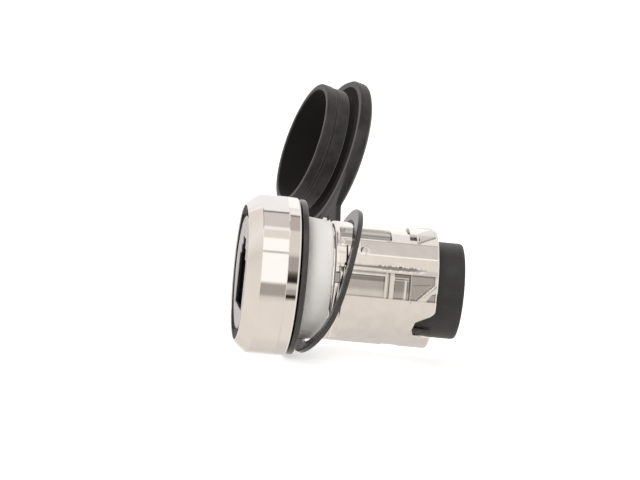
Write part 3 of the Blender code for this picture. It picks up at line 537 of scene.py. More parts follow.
def cast_pockets(w, floor):
    """The first two pockets, the rib over the first as a painted shade strip, the slit and the hooked bars in
    the second.
    """
    centre = w.across(POCKET_TURN)
    half = POCKET_HALF
    for span, top in ((FIRST_POCKET, FIRST_POCKET_TOP), (SECOND_POCKET, half)):
        pocket = w.mask(w.box(centre, span, -half, top))
        shadow = w.mask(0.38 - np.abs(centre - top + 0.5), width=0.25)
        light_foot = w.mask(-1.1 - centre, width=1.2)
        w.sink(pocket, floor)
        # Painted shade: the floor darker, a darker band under the top, and less of it near the foot
        w.darken(pocket, share=0.46)
        w.darken(pocket * shadow, share=0.45)
        w.darken(pocket * light_foot, share=-0.45)
    # The rib over the first pocket is drawn only as a strip of painted shade
    rib = w.box(centre, RIB_SPAN, 2.0, 2.45)
    w.darken(w.mask(rib, width=0.2), share=0.42)
    deep = w.mask(w.box(centre, DEEP_SPAN, -half, DEEP_TOP))
    w.sink(deep, w.plane(POCKET_TURN, DEEP_FLOOR))
    # Painted shade in the deeper part
    w.darken(deep, share=0.3)
    upright = w.box(centre, UPRIGHT_BAR, -half, BAR_KNEE)
    level = w.box(centre, LEVEL_BAR, BAR_KNEE, BAR_TOP)
    slot_between = w.mask(np.abs(centre - 1.45) - 0.08, width=0.1)
    bar = w.mask(np.maximum(upright, level), width=0.2) * slot_between
    w.lift(bar, height=0.08)
    # The raised bars are kept nearly clear of the painted shade
    w.stain = w.stain * (1 - 0.95 * bar)
    rear_side = w.box(centre, REAR_SIDE, -half, FIRST_POCKET_TOP)
    # Painted shade at the second pocket's rear end
    w.darken(w.mask(rear_side, width=0.12), share=0.5)
    slit = w.mask(w.box(centre, SLIT_SPAN, -half, half), width=0.1)
    w.sink(slit, floor)
    # Painted shade in the slit
    w.darken(slit, share=0.3)


def cast_third_pocket(w, floor, broken):
    """The third pocket, parted by a diagonal rib; painted shade on its floor, along a line on it and beside
    the rib.
    """
    centre = w.across(POCKET_TURN)
    half = POCKET_HALF
    start, end = THIRD_POCKET
    foot = start + 1.1
    main = [(start, half), (start, -half), (foot, -half), (end, 0.75), (end, half)]
    low = [(17.2, -half), (18.8, -half), (18.8, -0.8), (18.1, -1.0)]
    pocket = w.mask(np.maximum(inside_polygon(w.y, centre, main), inside_polygon(w.y, centre, low)))
    w.sink(pocket, floor)
    # Painted shade on the floor, then along a line on it and in a crease beside the rib
    w.darken(pocket * (0.85 + 0.15 * broken), share=0.5)
    line_height = 0.5 + 0.09 * (w.y - 14.4)
    line = np.minimum(0.09 - np.abs(centre - line_height), w.box(centre, (14.5, 17.7), -half, half))
    w.darken(w.mask(line, width=0.1), share=0.45)
    from_rib = (centre + half - (w.y - foot)) * math.sqrt(0.5)
    crease = np.minimum(0.1 - np.abs(from_rib + 0.42), w.box(centre, (16.5, 20.1), -1.6, half))
    deeper = smooth_step((w.y - 17.2) / 1.5)
    w.darken(w.mask(crease, width=0.16), share=0.25 + 0.3 * deeper)


def cast_beads(w):
    """A fine bead above and below the row of pockets, and a painted shade line at the row's edges."""
    centre = w.across(POCKET_TURN)
    half = POCKET_HALF
    bead = 0.1 - np.abs(np.abs(centre) - half - 0.2)
    bead = np.minimum(bead, w.box(centre, BEAD_SPAN, -half - 0.6, half + 0.6))
    w.lift(w.mask(bead, width=0.22), height=0.03)
    edge_shade_line = np.minimum(0.05 - np.abs(np.abs(centre) - half), w.between(EDGE_SPAN))
    w.darken(w.mask(edge_shade_line, width=0.12), share=0.3)


def cast_shoulder(w):
    """The groove, the raised pad and the key's notch behind the collar, with painted shade in the notch."""
    for low, high in ((-62, 21), (47, 70)):
        groove = w.box(w.fold, GROOVE_SPAN, math.radians(low), math.radians(high))
        w.sink(w.mask(groove), w.big - 0.5)
    pad = w.box(w.fold * w.big, PAD_SPAN, math.radians(22) * w.big, math.radians(46) * w.big)
    w.lift(w.mask(pad, width=0.25), height=0.12)
    notch = w.mask(w.box(w.across(NOTCH_TURN), NOTCH_SPAN, -1.0, 1.0))
    w.sink(notch, w.plane(NOTCH_TURN, NOTCH_FLOOR))
    # Painted shade in the notch
    w.darken(notch, share=0.6)


def cast_latch(w):
    """The latch's slot, the block behind it and the slanted lug with its undercut, each darkened by painted
    shade.
    """
    slot = w.mask(w.box(w.across(SLOT_TURN), SLOT_SPAN, -1.6, 1.6))
    w.sink(slot, w.plane(SLOT_TURN, SLOT_FLOOR))
    # Painted shade in the slot, on the block, on the lug and in the undercut
    w.darken(slot, share=0.7)
    block = w.mask(w.box(w.across(BLOCK_TURN), BLOCK_SPAN, -1.04, 0.85))
    w.sink(block, w.plane(BLOCK_TURN, BLOCK_FLOOR))
    w.darken(block, share=0.66)
    across = w.across(LUG_TURN)
    start, end = LUG_SPAN
    outline = [(start, -2.6), (end, -0.55), (end, 3.1), (start, 0.0)]
    lug = w.mask(inside_polygon(w.y, across, outline), width=0.35)
    w.lift(lug, height=0.22)
    w.darken(lug, share=0.2)
    front = start - 0.1
    lower_edge = 0.62 * (w.y - front) - 2.62
    under = np.minimum(0.16 - np.abs(across - lower_edge), w.between((front, end)))
    under = w.mask(under, width=0.2)
    w.sink(under, w.plane(UNDERCUT_TURN, UNDERCUT_FLOOR))
    w.darken(under, share=0.45)


def barrel_wall(turn, place, s):
    """Radius of the cast wall at each (turn, place), and how much painted shade lies there."""
    w = Wall(turn, place, s)
    floor = w.plane(POCKET_TURN, s.floor / MM)
    cast_flats(w, s)
    cast_channel(w)
    broken = cast_score(w, s.front / MM)
    cast_pip(w)
    cast_pockets(w, floor)
    cast_third_pocket(w, floor, broken)
    cast_beads(w)
    cast_shoulder(w)
    cast_latch(w)
    return w.radius * MM, np.clip(w.stain, 0, 1)


def barrel_end(turn, s):
    """Where the wall ends at each turn: it dips in the slanted cut-out low on each side."""
    fold = np.degrees(np.arctan2(np.sin(turn), np.abs(np.cos(turn))))
    turns, cuts = zip(*CUT_OUT)
    return s.rear - np.interp(fold, turns, cuts) * MM


def spaced(values, least):
    """The values in order, without any that lies closer than the least step behind its neighbour."""
    values = np.sort(np.concatenate(values))
    return values[np.concatenate([[True], np.diff(values) > least])]


def barrel_rows(s):
    """Places of the mesh's rows, closer together at the ends of pockets and grooves."""
    front, rear = s.front / MM, s.rear / MM
    spans = (CHANNEL_SPAN, FIRST_POCKET, SECOND_POCKET, DEEP_SPAN, SLIT_SPAN, THIRD_POCKET, BLOCK_SPAN)
    ends = [*np.ravel(spans), FLAT_SPAN[0], GROOVE_SPAN[1], BOTTOM_SPAN[0], BAR_FOOT]
    margin = 0.3
    even = np.arange(front + margin, rear - margin, 0.135)
    close = np.add.outer(front + np.array(ends), (-0.07, -0.02, 0.02, 0.07)).ravel()
    return spaced((even, close), 0.025) * MM


def barrel_turns(s):
    """Turns of the mesh's columns, closer together on the worked side and beside the edges there."""
    big = s.radius / MM

    def side(turn, across):
        return turn + math.degrees(math.asin(across / big))

    def reach(distance):
        return math.degrees(math.acos(distance / big))

    facet = reach(s.facet / MM)
    edges = (
        side(POCKET_TURN, -POCKET_HALF), side(POCKET_TURN, FIRST_POCKET_TOP), side(POCKET_TURN, POCKET_HALF),
        FACET_TURN - facet, FACET_TURN + facet,
        side(CHANNEL_TURN, CHANNEL_HALF), TOP_TURN - reach(s.top / MM),
    )
    coarse, fine = 1.4, 0.56
    even = (np.arange(-90, -6, coarse), np.arange(-6, 76, fine), np.arange(76, 90, coarse))
    close = np.add.outer(edges, (-0.35, -0.1, 0.1, 0.35)).ravel()
    fold = spaced((*even, close), 0.15)
    return np.radians(np.concatenate([fold, 180 - fold[:0:-1]]))


def build_barrel_mesh(s):
    """A closed tube: rows run from the bore's front round the neck, along the wall and back up the bore.

    Behind the knee the wall's rows are squeezed forward where the cut-out shortens the wall.
    """
    turn = barrel_turns(s)
    t, y = np.meshgrid(turn, barrel_rows(s))
    radius, stain = barrel_wall(t, y, s)
    end = barrel_end(turn, s)
    share = np.clip((y - s.knee) / (s.rear - s.knee), 0, 1)
    y = np.where(y > s.knee, s.knee + share * (end - s.knee), y)
    first, last = radius[:1], radius[-1:]
    e = s.edge
    small = 0.1 * MM

    def ring(r, place):
        return np.broadcast_to(r, (1, len(turn))), np.broadcast_to(place, (1, len(turn)))

    before = [
        ring(s.bore + 2 * small, s.neck_front),
        ring(s.neck - small, s.neck_front),
        ring(s.neck, s.neck_front + small),
        ring(s.neck, s.front),
        ring(first - e, s.front),
        ring(first - 0.3 * e, s.front + 0.3 * e),
    ]
    behind = [
        ring(last, end - e),
        ring(last - 0.3 * e, end - 0.3 * e),
        ring(last - e, end),
        ring(s.bore + small, end),
        ring(s.bore, end - small),
        ring(s.bore, s.bore_step),
    ]
    parts = [*before, (radius, y), *behind]
    stain = np.pad(stain, ((len(before), len(behind)), (0, 0)))
    radius = np.concatenate([p[0] for p in parts])
    place = np.concatenate([p[1] for p in parts])
    verts = np.stack([radius * np.cos(turn), place, radius * np.sin(turn)], -1).reshape(-1, 3)
    obj = add_mesh("barrel_shell", verts, grid_faces(len(radius), len(turn), True, True))
    # The painted shade of the cast hollows, which the cast chrome's material reads
    store(obj, "stain", stain)
    face_outward(obj)
    obj.data.set_sharp_from_angle(angle=math.radians(50))
    return obj


# Rubber


def turned(vector, axis, degrees):
    return Matrix.Rotation(math.radians(degrees), 3, axis) @ vector


def frame_matrix(origin, out, axis):
    """A frame with X along out, Y against the bend's axis and Z towards the front."""
    across = -axis
    front = out.cross(across)
    matrix = Matrix((out, across, front)).transposed().to_4x4()
    matrix.translation = origin
    return matrix


def moulding_frames(joints):
    """Frames of the ring, the strap and the cap at rest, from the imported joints.

    The strap runs from one bend to the other. The ring's plane is turned back from it by the first
    rest bend and the cap's plane is turned on by the second.
    """
    by_name = {j["name"]: j for j in joints}
    start = Vector(by_name["strap_bend"]["pos_m"])
    end = Vector(by_name["cap_bend"]["pos_m"])
    axis = Vector(by_name["strap_bend"]["axis"]).normalized()
    along = (end - start).normalized()
    ring_out = turned(along, axis, -STRAP_REST_BEND)
    cap_out = turned(along, axis, CAP_REST_BEND)
    ring = frame_matrix(start - ring_out * BEND_ARM, ring_out, axis)
    strap = frame_matrix(start, along, axis)
    cap = frame_matrix(end + cap_out * BEND_ARM, cap_out, axis)
    return ring, strap, cap, (end - start).length


def lay(obj, place):
    """Lays a lathed piece in a place's own frame: its axis goes along Z and its turn starts at X."""
    swap = Matrix(((1, 0, 0, 0), (0, 0, 1, 0), (0, 1, 0, 0), (0, 0, 0, 1)))
    obj.data.transform(place @ swap)
    face_outward(obj)


def bow(obj, place, radius, depth):
    """Bends the hanging ring rearwards below its middle, most on the side away from the strap.

    With s running from 0 at the top to 1 at the bottom, the points move by depth times the sine of
    half a turn times s to the power 1.7.
    """
    co = np.empty(len(obj.data.vertices) * 3)
    obj.data.vertices.foreach_get("co", co)
    co = co.reshape(-1, 3)
    out, across, front, centre = (np.array(place.col[k][:3]) for k in range(4))
    local = co - centre
    up = out * out[2] + across * across[2]
    height = local @ (up / np.hypot(out[2], across[2]))
    share = np.clip((radius - height) / (2 * radius), 0, 1)
    side = smooth_step((co[:, 0] / radius + 0.7) / 0.9)
    move = depth * side * np.sin(math.pi * share**1.7)
    obj.data.vertices.foreach_set("co", (co - move[:, None] * front).ravel())
    obj.data.update()


def strap_half(name, s, stations, frames):
    """Half of the strap, swept along stations that run out from the ring.

    Across each station lies a rounded box: half the width times a signed power of the cosine, and
    half the thickness times a signed power of the sine. The width widens smoothly towards the ring
    and, more, towards the cap. The path and its front turn from the ring's frame to the strap's and
    on to the cap's.
    """
    ring, strap, cap, run = frames
    turn = np.arange(28) * math.tau / 28
    round_x = np.sign(np.cos(turn)) * np.abs(np.cos(turn)) ** 0.22
    round_z = np.sign(np.sin(turn)) * np.abs(np.sin(turn)) ** 0.4
    near = smooth_step((stations + STRAP_ROOT) / (3.2 * MM))
    far = smooth_step((stations - (run - 4.2 * MM)) / (6.4 * MM))
    half = s.strap + s.root_spread * (1 - near) + s.tip_spread * far
    thick = s.thickness / 2 + 0.05 * MM * np.sin(stations / run * math.pi)
    base = np.array(strap.translation)
    paths = (np.array(m.col[0][:3]) for m in (strap, ring, cap))
    lengths = (np.clip(stations, 0, run), np.minimum(stations, 0), np.maximum(stations - run, 0))
    centre = base + sum(length[:, None] * path for length, path in zip(lengths, paths))
    past_ring = smooth_step((stations + MM) / (2 * MM))[:, None]
    past_cap = smooth_step((stations - run + MM) / (2 * MM))[:, None]
    fronts = (np.array(m.col[2][:3]) for m in (ring, strap, cap))
    shares = (1 - past_ring, past_ring - past_cap, past_cap)
    front = sum(share * way for share, way in zip(shares, fronts))
    across = np.array(strap.col[1][:3])
    verts = centre[:, None] + (half[:, None] * round_x)[..., None] * across
    verts = verts + (thick[:, None] * round_z)[..., None] * front[:, None]
    faces = grid_faces(len(stations), len(turn), False, True).tolist()
    last = (len(stations) - 1) * len(turn)
    faces.append(list(range(len(turn))))
    faces.append([last + k for k in range(len(turn))][::-1])
    obj = add_mesh(name, verts.reshape(-1, 3), faces)
    face_outward(obj)
    return obj


def cap_outline(s):
    """The cap's section as (radius, height), mouth up, with a radius for each corner."""
    face = s.thickness / 2
    back = face - s.flange_thickness
    mouth = face + s.plug_length
    floor = back - s.dome + s.cap_floor
    bead = s.plug - 0.1 * MM
    groove = s.plug - 0.5 * MM
    neck = s.plug - 0.7 * MM
    corners = [
        (0.0, floor, 0),
        (s.plug_bore, floor, 0.5),
        (s.plug_bore, mouth, 0.3),
        (s.plug, mouth, 0.35),
        (s.plug, mouth - 1.75 * MM, 0.12),
        (groove, mouth - 1.9 * MM, 0.1),
        (groove, mouth - 2.25 * MM, 0.1),
        (bead, mouth - 2.45 * MM, 0.12),
        (bead, face + 1.3 * MM, 0.2),
        (neck, face + 1.1 * MM, 0.2),
        (neck, face, 0.25),
        (s.plug + 1.2 * MM, face, 0),
        (s.flange, face, 0.35),
        (s.flange, back, 0.7),
        (s.flange - 1.3 * MM, back - 0.75 * s.dome, 1.2),
        (s.flange * 0.6, back - 0.95 * s.dome, 3.0),
        (0.0, back - s.dome, 0),
    ]
    return fillet([c[:2] for c in corners], [c[2] * MM for c in corners], 5)


def cap_hollow(radius, place, s):
    """Where the cap gets painted shade: true in the plug's hollow and where the flange's face lies in the
    shade of the plug.
    """
    face = s.thickness / 2
    hollow = (radius < s.plug_bore + 0.1 * MM) & (place < face + s.plug_length - 0.2 * MM)
    gap = (radius < s.plug + 1.3 * MM) & (place > face - 0.05 * MM) & (place < face + 1.12 * MM)
    outside = place < face - s.flange_thickness
    return (hollow & ~outside) | gap


def lip_swell(s):
    """The lift lip: the flange's radius grows on the side away from the strap, most at its middle."""

    def swell(turn, profile):
        away = np.arctan2(np.sin(turn), np.cos(turn))
        share = np.clip(np.abs(away) / s.lip_angle, 0, 1)
        bump = np.cos(share * math.pi / 2) ** 1.3
        rows = smooth_step((profile[:, 0] - (s.plug + 1.25 * MM)) / (1.2 * MM))
        low = profile[:, 1] < s.thickness / 2 + 0.1 * MM
        return (rows * low)[:, None] * bump * s.lip

    return swell


# Materials


class Tree:
    """Short calls for making and joining nodes."""

    def __init__(self, tree):
        self.tree = tree

    def add(self, kind, **settings):
        node = self.tree.nodes.new(kind)
        for key, value in settings.items():
            setattr(node, key, value)
        return node

    def join(self, out, into):
        self.tree.links.new(out, into)

    def math(self, operation, a, b=None, c=None, clamp=False):
        node = self.add("ShaderNodeMath", operation=operation, use_clamp=clamp)
        for socket, value in zip(node.inputs, (a, b, c)):
            if value is None:
                continue
            if isinstance(value, (int, float)):
                socket.default_value = value
            else:
                self.join(value, socket)
        return node.outputs[0]

    def smooth(self, value, low, high, to_low=0.0, to_high=1.0):
        node = self.add("ShaderNodeMapRange", interpolation_type="SMOOTHSTEP")
        self.join(value, node.inputs["Value"])
        node.inputs["From Min"].default_value = low
        node.inputs["From Max"].default_value = high
        node.inputs["To Min"].default_value = to_low
        node.inputs["To Max"].default_value = to_high
        return node.outputs["Result"]

    def ramp(self, value, stops):
        node = self.add("ShaderNodeValToRGB")
        ramp = node.color_ramp
        while len(ramp.elements) > 1:
            ramp.elements.remove(ramp.elements[-1])
        ramp.elements[0].position = stops[0][0]
        ramp.elements[0].color = (*stops[0][1], 1)
        for place, colour in stops[1:]:
            ramp.elements.new(place).color = (*colour, 1)
        self.join(value, node.inputs["Fac"])
        return node.outputs["Color"]

    def mix(self, share, a, b):
        node = self.add("ShaderNodeMix", data_type="RGBA")
        for socket, value in zip((node.inputs[0], node.inputs[6], node.inputs[7]), (share, a, b)):
            if isinstance(value, tuple):
                socket.default_value = (*value, 1)
            elif isinstance(value, (int, float)):
                socket.default_value = value
            else:
                self.join(value, socket)
        return node.outputs[2]


# Inputs of the wear group: scales per metre, heights in millimetres and the share of cells with a speck
WEAR_INPUTS = ("Mottle scale", "Grain scale", "Mottle height", "Grain height", "Speck share")


def surface_group():
    """Wear of a moulded or plated surface, from the object's own coordinates.

    Puts out a slow mottling, a fine grain, sparse specks and a normal that joins the two bumps.
    """
    ready = bpy.data.node_groups.get("surface_wear")
    if ready:
        return ready
    group = bpy.data.node_groups.new("surface_wear", "ShaderNodeTree")
    for name in WEAR_INPUTS:
        group.interface.new_socket(name, in_out="INPUT", socket_type="NodeSocketFloat")
    for name in ("Mottle", "Grain", "Specks"):
        group.interface.new_socket(name, in_out="OUTPUT", socket_type="NodeSocketFloat")
    group.interface.new_socket("Normal", in_out="OUTPUT", socket_type="NodeSocketVector")
    t = Tree(group)
    into, out = t.add("NodeGroupInput"), t.add("NodeGroupOutput")
    place = t.add("ShaderNodeTexCoord").outputs["Object"]

    def noise(scale, detail, rough):
        node = t.add("ShaderNodeTexNoise")
        node.inputs["Detail"].default_value = detail
        node.inputs["Roughness"].default_value = rough
        t.join(place, node.inputs["Vector"])
        t.join(scale, node.inputs["Scale"])
        return node.outputs["Fac"]

    mottle = noise(into.outputs["Mottle scale"], 4.0, 0.55)
    grain = noise(into.outputs["Grain scale"], 3.0, 0.6)
    speck = t.add("ShaderNodeTexVoronoi", feature="F1")
    t.join(place, speck.inputs["Vector"])
    t.join(t.math("MULTIPLY", into.outputs["Grain scale"], 0.18), speck.inputs["Scale"])
    spots = t.smooth(speck.outputs["Distance"], 0.06, 0.16, 1.0, 0.0)
    pick = t.math("LESS_THAN", speck.outputs["Color"], into.outputs["Speck share"])
    specks = t.math("MULTIPLY", spots, pick)
    height = t.math("MULTIPLY", mottle, into.outputs["Mottle height"])
    height = t.math("MULTIPLY_ADD", grain, into.outputs["Grain height"], height)
    bump = t.add("ShaderNodeBump")
    bump.inputs["Distance"].default_value = MM
    t.join(height, bump.inputs["Height"])
    found = {"Mottle": mottle, "Grain": grain, "Specks": specks, "Normal": bump.outputs["Normal"]}
    for name, value in found.items():
        t.join(value, out.inputs[name])
    return group


def make_material(name, colour, dip, rough, wear, specks, metallic=0.0, shine=0.5, shade=None, milk=None):
    """A Principled material, mottled between its colour and dip times that, and between two roughnesses.

    Specks lie on top. shade, called with the tree, gives painted shade as (amount, tone, matt): where
    the amount is 1 the surface takes that dark tone, and without shine if it is matt there. milk holds
    the values by which light wanders inside the piece.
    """
    material = bpy.data.materials.new(name)
    material.use_nodes = True
    t = Tree(material.node_tree)
    shader = material.node_tree.nodes["Principled BSDF"]
    group = t.add("ShaderNodeGroup")
    group.node_tree = surface_group()
    for key, value in zip(WEAR_INPUTS, wear):
        group.inputs[key].default_value = value
    share = t.smooth(group.outputs["Mottle"], 0.3, 0.7)
    colour = t.mix(share, tuple(dip * value for value in colour), tuple(colour))
    if specks:
        colour = t.mix(group.outputs["Specks"], colour, tuple(specks))
    half_mottle = t.math("MULTIPLY", group.outputs["Mottle"], 0.5)
    blend = t.math("MULTIPLY_ADD", group.outputs["Grain"], 0.5, half_mottle)
    roughness = t.smooth(blend, 0.3, 0.7, *rough)
    shader.inputs["Metallic"].default_value = metallic
    shader.inputs["Specular IOR Level"].default_value = shine
    if shade:
        amount, tone, matt = shade(t)
        colour = t.mix(amount, colour, srgb(*tone))
    if shade and matt:
        roughness = t.math("ADD", roughness, amount, clamp=True)
        if metallic:
            t.join(t.math("MULTIPLY", t.math("SUBTRACT", 1.0, amount), metallic), shader.inputs["Metallic"])
    t.join(roughness, shader.inputs["Roughness"])
    t.join(colour, shader.inputs["Base Color"])
    t.join(group.outputs["Normal"], shader.inputs["Normal"])
    for key, value in (milk or {}).items():
        shader.inputs[key].default_value = value
    return material


# Tones in sRGB of the painted shade in hollows that get little light, and the place of the insert's front
# face
HOLLOW_SHADE_TONE = (24, 22, 22)
CAST_SHADE_TONE = (26, 22, 18)
BEHIND_SHADE_TONE = (30, 27, 27)
INSERT_FACE = -10.4 * MM


def shaded_inside(t):
    """Painted shade: the marked inner faces are nearly black."""
    return t.add("ShaderNodeAttribute", attribute_name="inner").outputs["Fac"], HOLLOW_SHADE_TONE, True


def painted_cast_shade(t):
    """Painted shade: the cast hollows give back less light, by the stored amount."""
    return t.add("ShaderNodeAttribute", attribute_name="stain").outputs["Fac"], CAST_SHADE_TONE, False


def shaded_behind_face(t):
    """Painted shade: everything of the insert behind its front face is black."""
    split = t.add("ShaderNodeSeparateXYZ")
    t.join(t.add("ShaderNodeTexCoord").outputs["Object"], split.inputs[0])
    return t.smooth(split.outputs["Y"], INSERT_FACE, INSERT_FACE + 0.04 * MM), BEHIND_SHADE_TONE, True


# How light wanders in the collar, the wear of moulded rubber, and each finish: its name, its colour's
# name, how dark its mottling dips, its roughness, its wear and what else make_material takes
MILK = {"Subsurface Weight": 0.35, "Subsurface Scale": 1.5 * MM, "Subsurface Radius": (1.0, 0.9, 0.8)}
RUBBER_WEAR = (220, 5200, 0.02, 0.006, 0.04)
FINISHES = (
    ("bright_chrome", "plating", 0.973, (0.02, 0.05), (260, 2600, 0.002, 0.0002),
     {"metallic": 1.0, "shade": shaded_inside}),
    ("cast_chrome", "casting", 0.946, (0.03, 0.08), (420, 2400, 0.0012, 0.0001),
     {"metallic": 1.0, "shade": painted_cast_shade}),
    ("satin_rubber", "seal", 0.7, (0.15, 0.24), (420, 5200, 0.008, 0.0015, 0.04), {"shine": 0.65}),
    ("cap_rubber", "lid", 0.34, (0.3, 0.45), RUBBER_WEAR, {"shine": 0.3, "shade": shaded_inside}),
    ("strap_rubber", "strap", 0.58, (0.4, 0.55), RUBBER_WEAR, {"shine": 0.15}),
    ("black_housing", "housing", 0.63, (0.34, 0.5), (300, 7000, 0.004, 0.004, 0.03), {}),
    ("milky_collar", "collar", 0.922, (0.3, 0.45), (160, 3000, 0.01, 0.001), {"milk": MILK}),
    ("grey_insert", "insert", 0.82, (0.35, 0.5), (260, 4200, 0.004, 0.003), {"shade": shaded_behind_face}),
    ("gold_wire", "wire", 0.87, (0.12, 0.25), (900, 6000, 0.004, 0.0), {"metallic": 1.0}),
    ("board_resist", "board", 0.64, (0.25, 0.4), (700, 5000, 0.0, 0.002), {}),
)


def dress(obj, material):
    obj.data.materials.clear()
    obj.data.materials.append(material)


def material(name):
    return bpy.data.materials[name]


# Operators


class SOCKET_OT_materials(bpy.types.Operator):
    """Makes the materials: chrome, cast chrome, rubber, plastics, gold and board"""

    bl_idname = "socket.materials"
    bl_label = "Make Materials"

    def execute(self, context):
        s = context.scene.socket_finish
        for name, tint_name, dip, rough, wear, more in FINISHES:
            dusty = len(wear) == len(WEAR_INPUTS)
            specks = s.specks if dusty else None
            make_material(name, getattr(s, tint_name), dip, rough, wear, specks, **more)
        return {"FINISHED"}


class SOCKET_OT_bezel(bpy.types.Operator):
    """Builds the chromed front ring with rounded edges and a slight taper behind its middle"""

    bl_idname = "socket.bezel"
    bl_label = "Build Front Ring"

    def execute(self, context):
        s = context.scene.socket_bezel
        recess_floor = s.front + s.recess_depth
        share = np.linspace(0, 1, 7)[1:-1]
        bulge = 4 * s.chamfer_bulge * share * (1 - share)
        radius = s.rim + (s.radius - s.rim) * share + bulge
        place = s.front + s.chamfer * share - bulge
        chamfer = list(zip(radius, place))
        points = [
            (s.recess, s.front),
            (s.rim, s.front),
            *chamfer,
            (s.radius, s.front + s.chamfer),
            (s.radius, s.taper_from),
            (s.radius - s.taper_drop, s.rear),
            (s.web_bore, s.rear),
            (s.web_bore, recess_floor),
            (s.recess, recess_floor),
        ]
        front_radii = [s.edge * 0.7, s.edge * 0.8, *[0.0] * len(chamfer), s.edge * 1.2, 0.0]
        radii = [*front_radii, s.rear_edge, s.web_edge, s.web_edge, s.edge]
        obj = lathe("bezel_ring", fillet(points, radii, 6), s.steps)
        # Painted shade: the recess wall deeper than shade_from is painted near black
        wall = s.recess + 0.05 * MM
        mark_painted_shade(obj, lambda radius, place: (radius < wall) & (place > s.front + s.shade_from))
        obj.data.set_sharp_from_angle(angle=math.radians(25))
        dress(obj, material("bright_chrome"))
        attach(obj, "socket")
        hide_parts("bezel")
        return {"FINISHED"}


class SOCKET_OT_seals(bpy.types.Operator):
    """Builds the gasket and the milky collar with its key"""

    bl_idname = "socket.seals"
    bl_label = "Build Gasket and Collar"

    def execute(self, context):
        s = context.scene.socket_seals
        outline = [
            (s.gasket_bore, s.gasket_front), (s.gasket, s.gasket_front),
            (s.gasket, 0.0), (s.gasket_bore, 0.0),
        ]
        gasket = lathe("gasket_ring", fillet(outline, s.gasket_edge, 4), s.steps)
        dress(gasket, material("satin_rubber"))
        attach(gasket, "socket")
        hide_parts("bezel_gasket")
        outline = [
            (s.collar_bore, s.collar_front), (s.collar, s.collar_front), (s.collar, s.collar_knee),
            (s.collar_small, s.collar_rear), (s.collar_bore, s.collar_rear),
        ]
        radii = [0.1 * MM, 0.1 * MM, 0.0, s.collar_edge, 0.2 * MM]
        collar = lathe("collar_ring", fillet(outline, radii, 5), s.steps)
        dress(collar, material("milky_collar"))
        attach(collar, "socket")
        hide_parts("centring_collar")
        nub = rounded_block("collar_nub", KEY_CENTRE, KEY_HALF, 0.35)
        dress(nub, material("milky_collar"))
        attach(nub, "socket")
        return {"FINISHED"}


class SOCKET_OT_barrel(bpy.types.Operator):
    """Builds the die-cast barrel with its pockets, ribs, flats and cut-outs"""

    bl_idname = "socket.barrel"
    bl_label = "Build Barrel"

    def execute(self, context):
        obj = build_barrel_mesh(context.scene.socket_barrel)
        dress(obj, material("cast_chrome"))
        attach(obj, "socket")
        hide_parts("barrel")
        return {"FINISHED"}


class SOCKET_OT_rubber(bpy.types.Operator):
    """Builds the tether ring, the strap in two halves and the cap"""

    bl_idname = "socket.rubber"
    bl_label = "Build Ring, Strap and Cap"

    def execute(self, context):
        s = context.scene.socket_rubber
        ring, strap, cap, run = frames = moulding_frames(frame["joints"])
        half = s.thickness / 2
        outline = [(s.ring_hole, -half), (s.ring_radius, -half), (s.ring_radius, half), (s.ring_hole, half)]
        loop = lathe("tether_loop", fillet(outline, s.edge, 4), s.steps)
        lay(loop, ring)
        bow(loop, ring, s.ring_radius, s.ring_bow)
        dress(loop, material("satin_rubber"))
        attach(loop, "ring")
        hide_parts("tether_ring")
        middle = run / 2
        stations = np.linspace(-STRAP_ROOT, middle, 48)
        first = strap_half("strap_inner_half", s, stations, frames)
        stations = np.linspace(middle, run + STRAP_TIP, 60)
        second = strap_half("strap_outer_half", s, stations, frames)
        for piece in (first, second):
            piece.visible_glossy = False
            dress(piece, material("strap_rubber"))
            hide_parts("cap_strap")
        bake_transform(first)
        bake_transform(second)
        lid = lathe("dust_cap", cap_outline(s), s.steps, lip_swell(s))
        # Painted shade in the plug's hollow and on the flange's face beside the plug
        mark_painted_shade(lid, lambda radius, place: cap_hollow(radius, place, s))
        lay(lid, cap)
        dress(lid, material("cap_rubber"))
        lid.visible_glossy = False
        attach(lid, "cap")
        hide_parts("cap")
        return {"FINISHED"}


class SOCKET_OT_inside(bpy.types.Operator):
    """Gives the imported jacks, insert, board, seal and contacts their materials"""

    bl_idname = "socket.inside"
    bl_label = "Dress the Jacks"

    def execute(self, context):
        named = {
            "port_insert": "grey_insert",
            "front_jack": "black_housing",
            "rear_jack": "black_housing",
            "circuit_board": "board_resist",
            "groove_seal": "satin_rubber",
        }
        for node, obj in frame["nodes"].items():
            if "contact" in node:
                named[node] = "gold_wire"
            if node in named:
                obj.data.materials.clear()
                obj.data.materials.append(material(named[node]))
        return {"FINISHED"}


class SOCKET_OT_stage(bpy.types.Operator):
    """Builds the floor, the studio's reflections, the lights and the camera"""

    bl_idname = "socket.stage"
    bl_label = "Build Studio"

    def execute(self, context):
        s = context.scene.socket_studio
        build_floor(s)
        build_world(context.scene, s)
        build_lights(s)
        build_camera(context.scene, s)
        return {"FINISHED"}


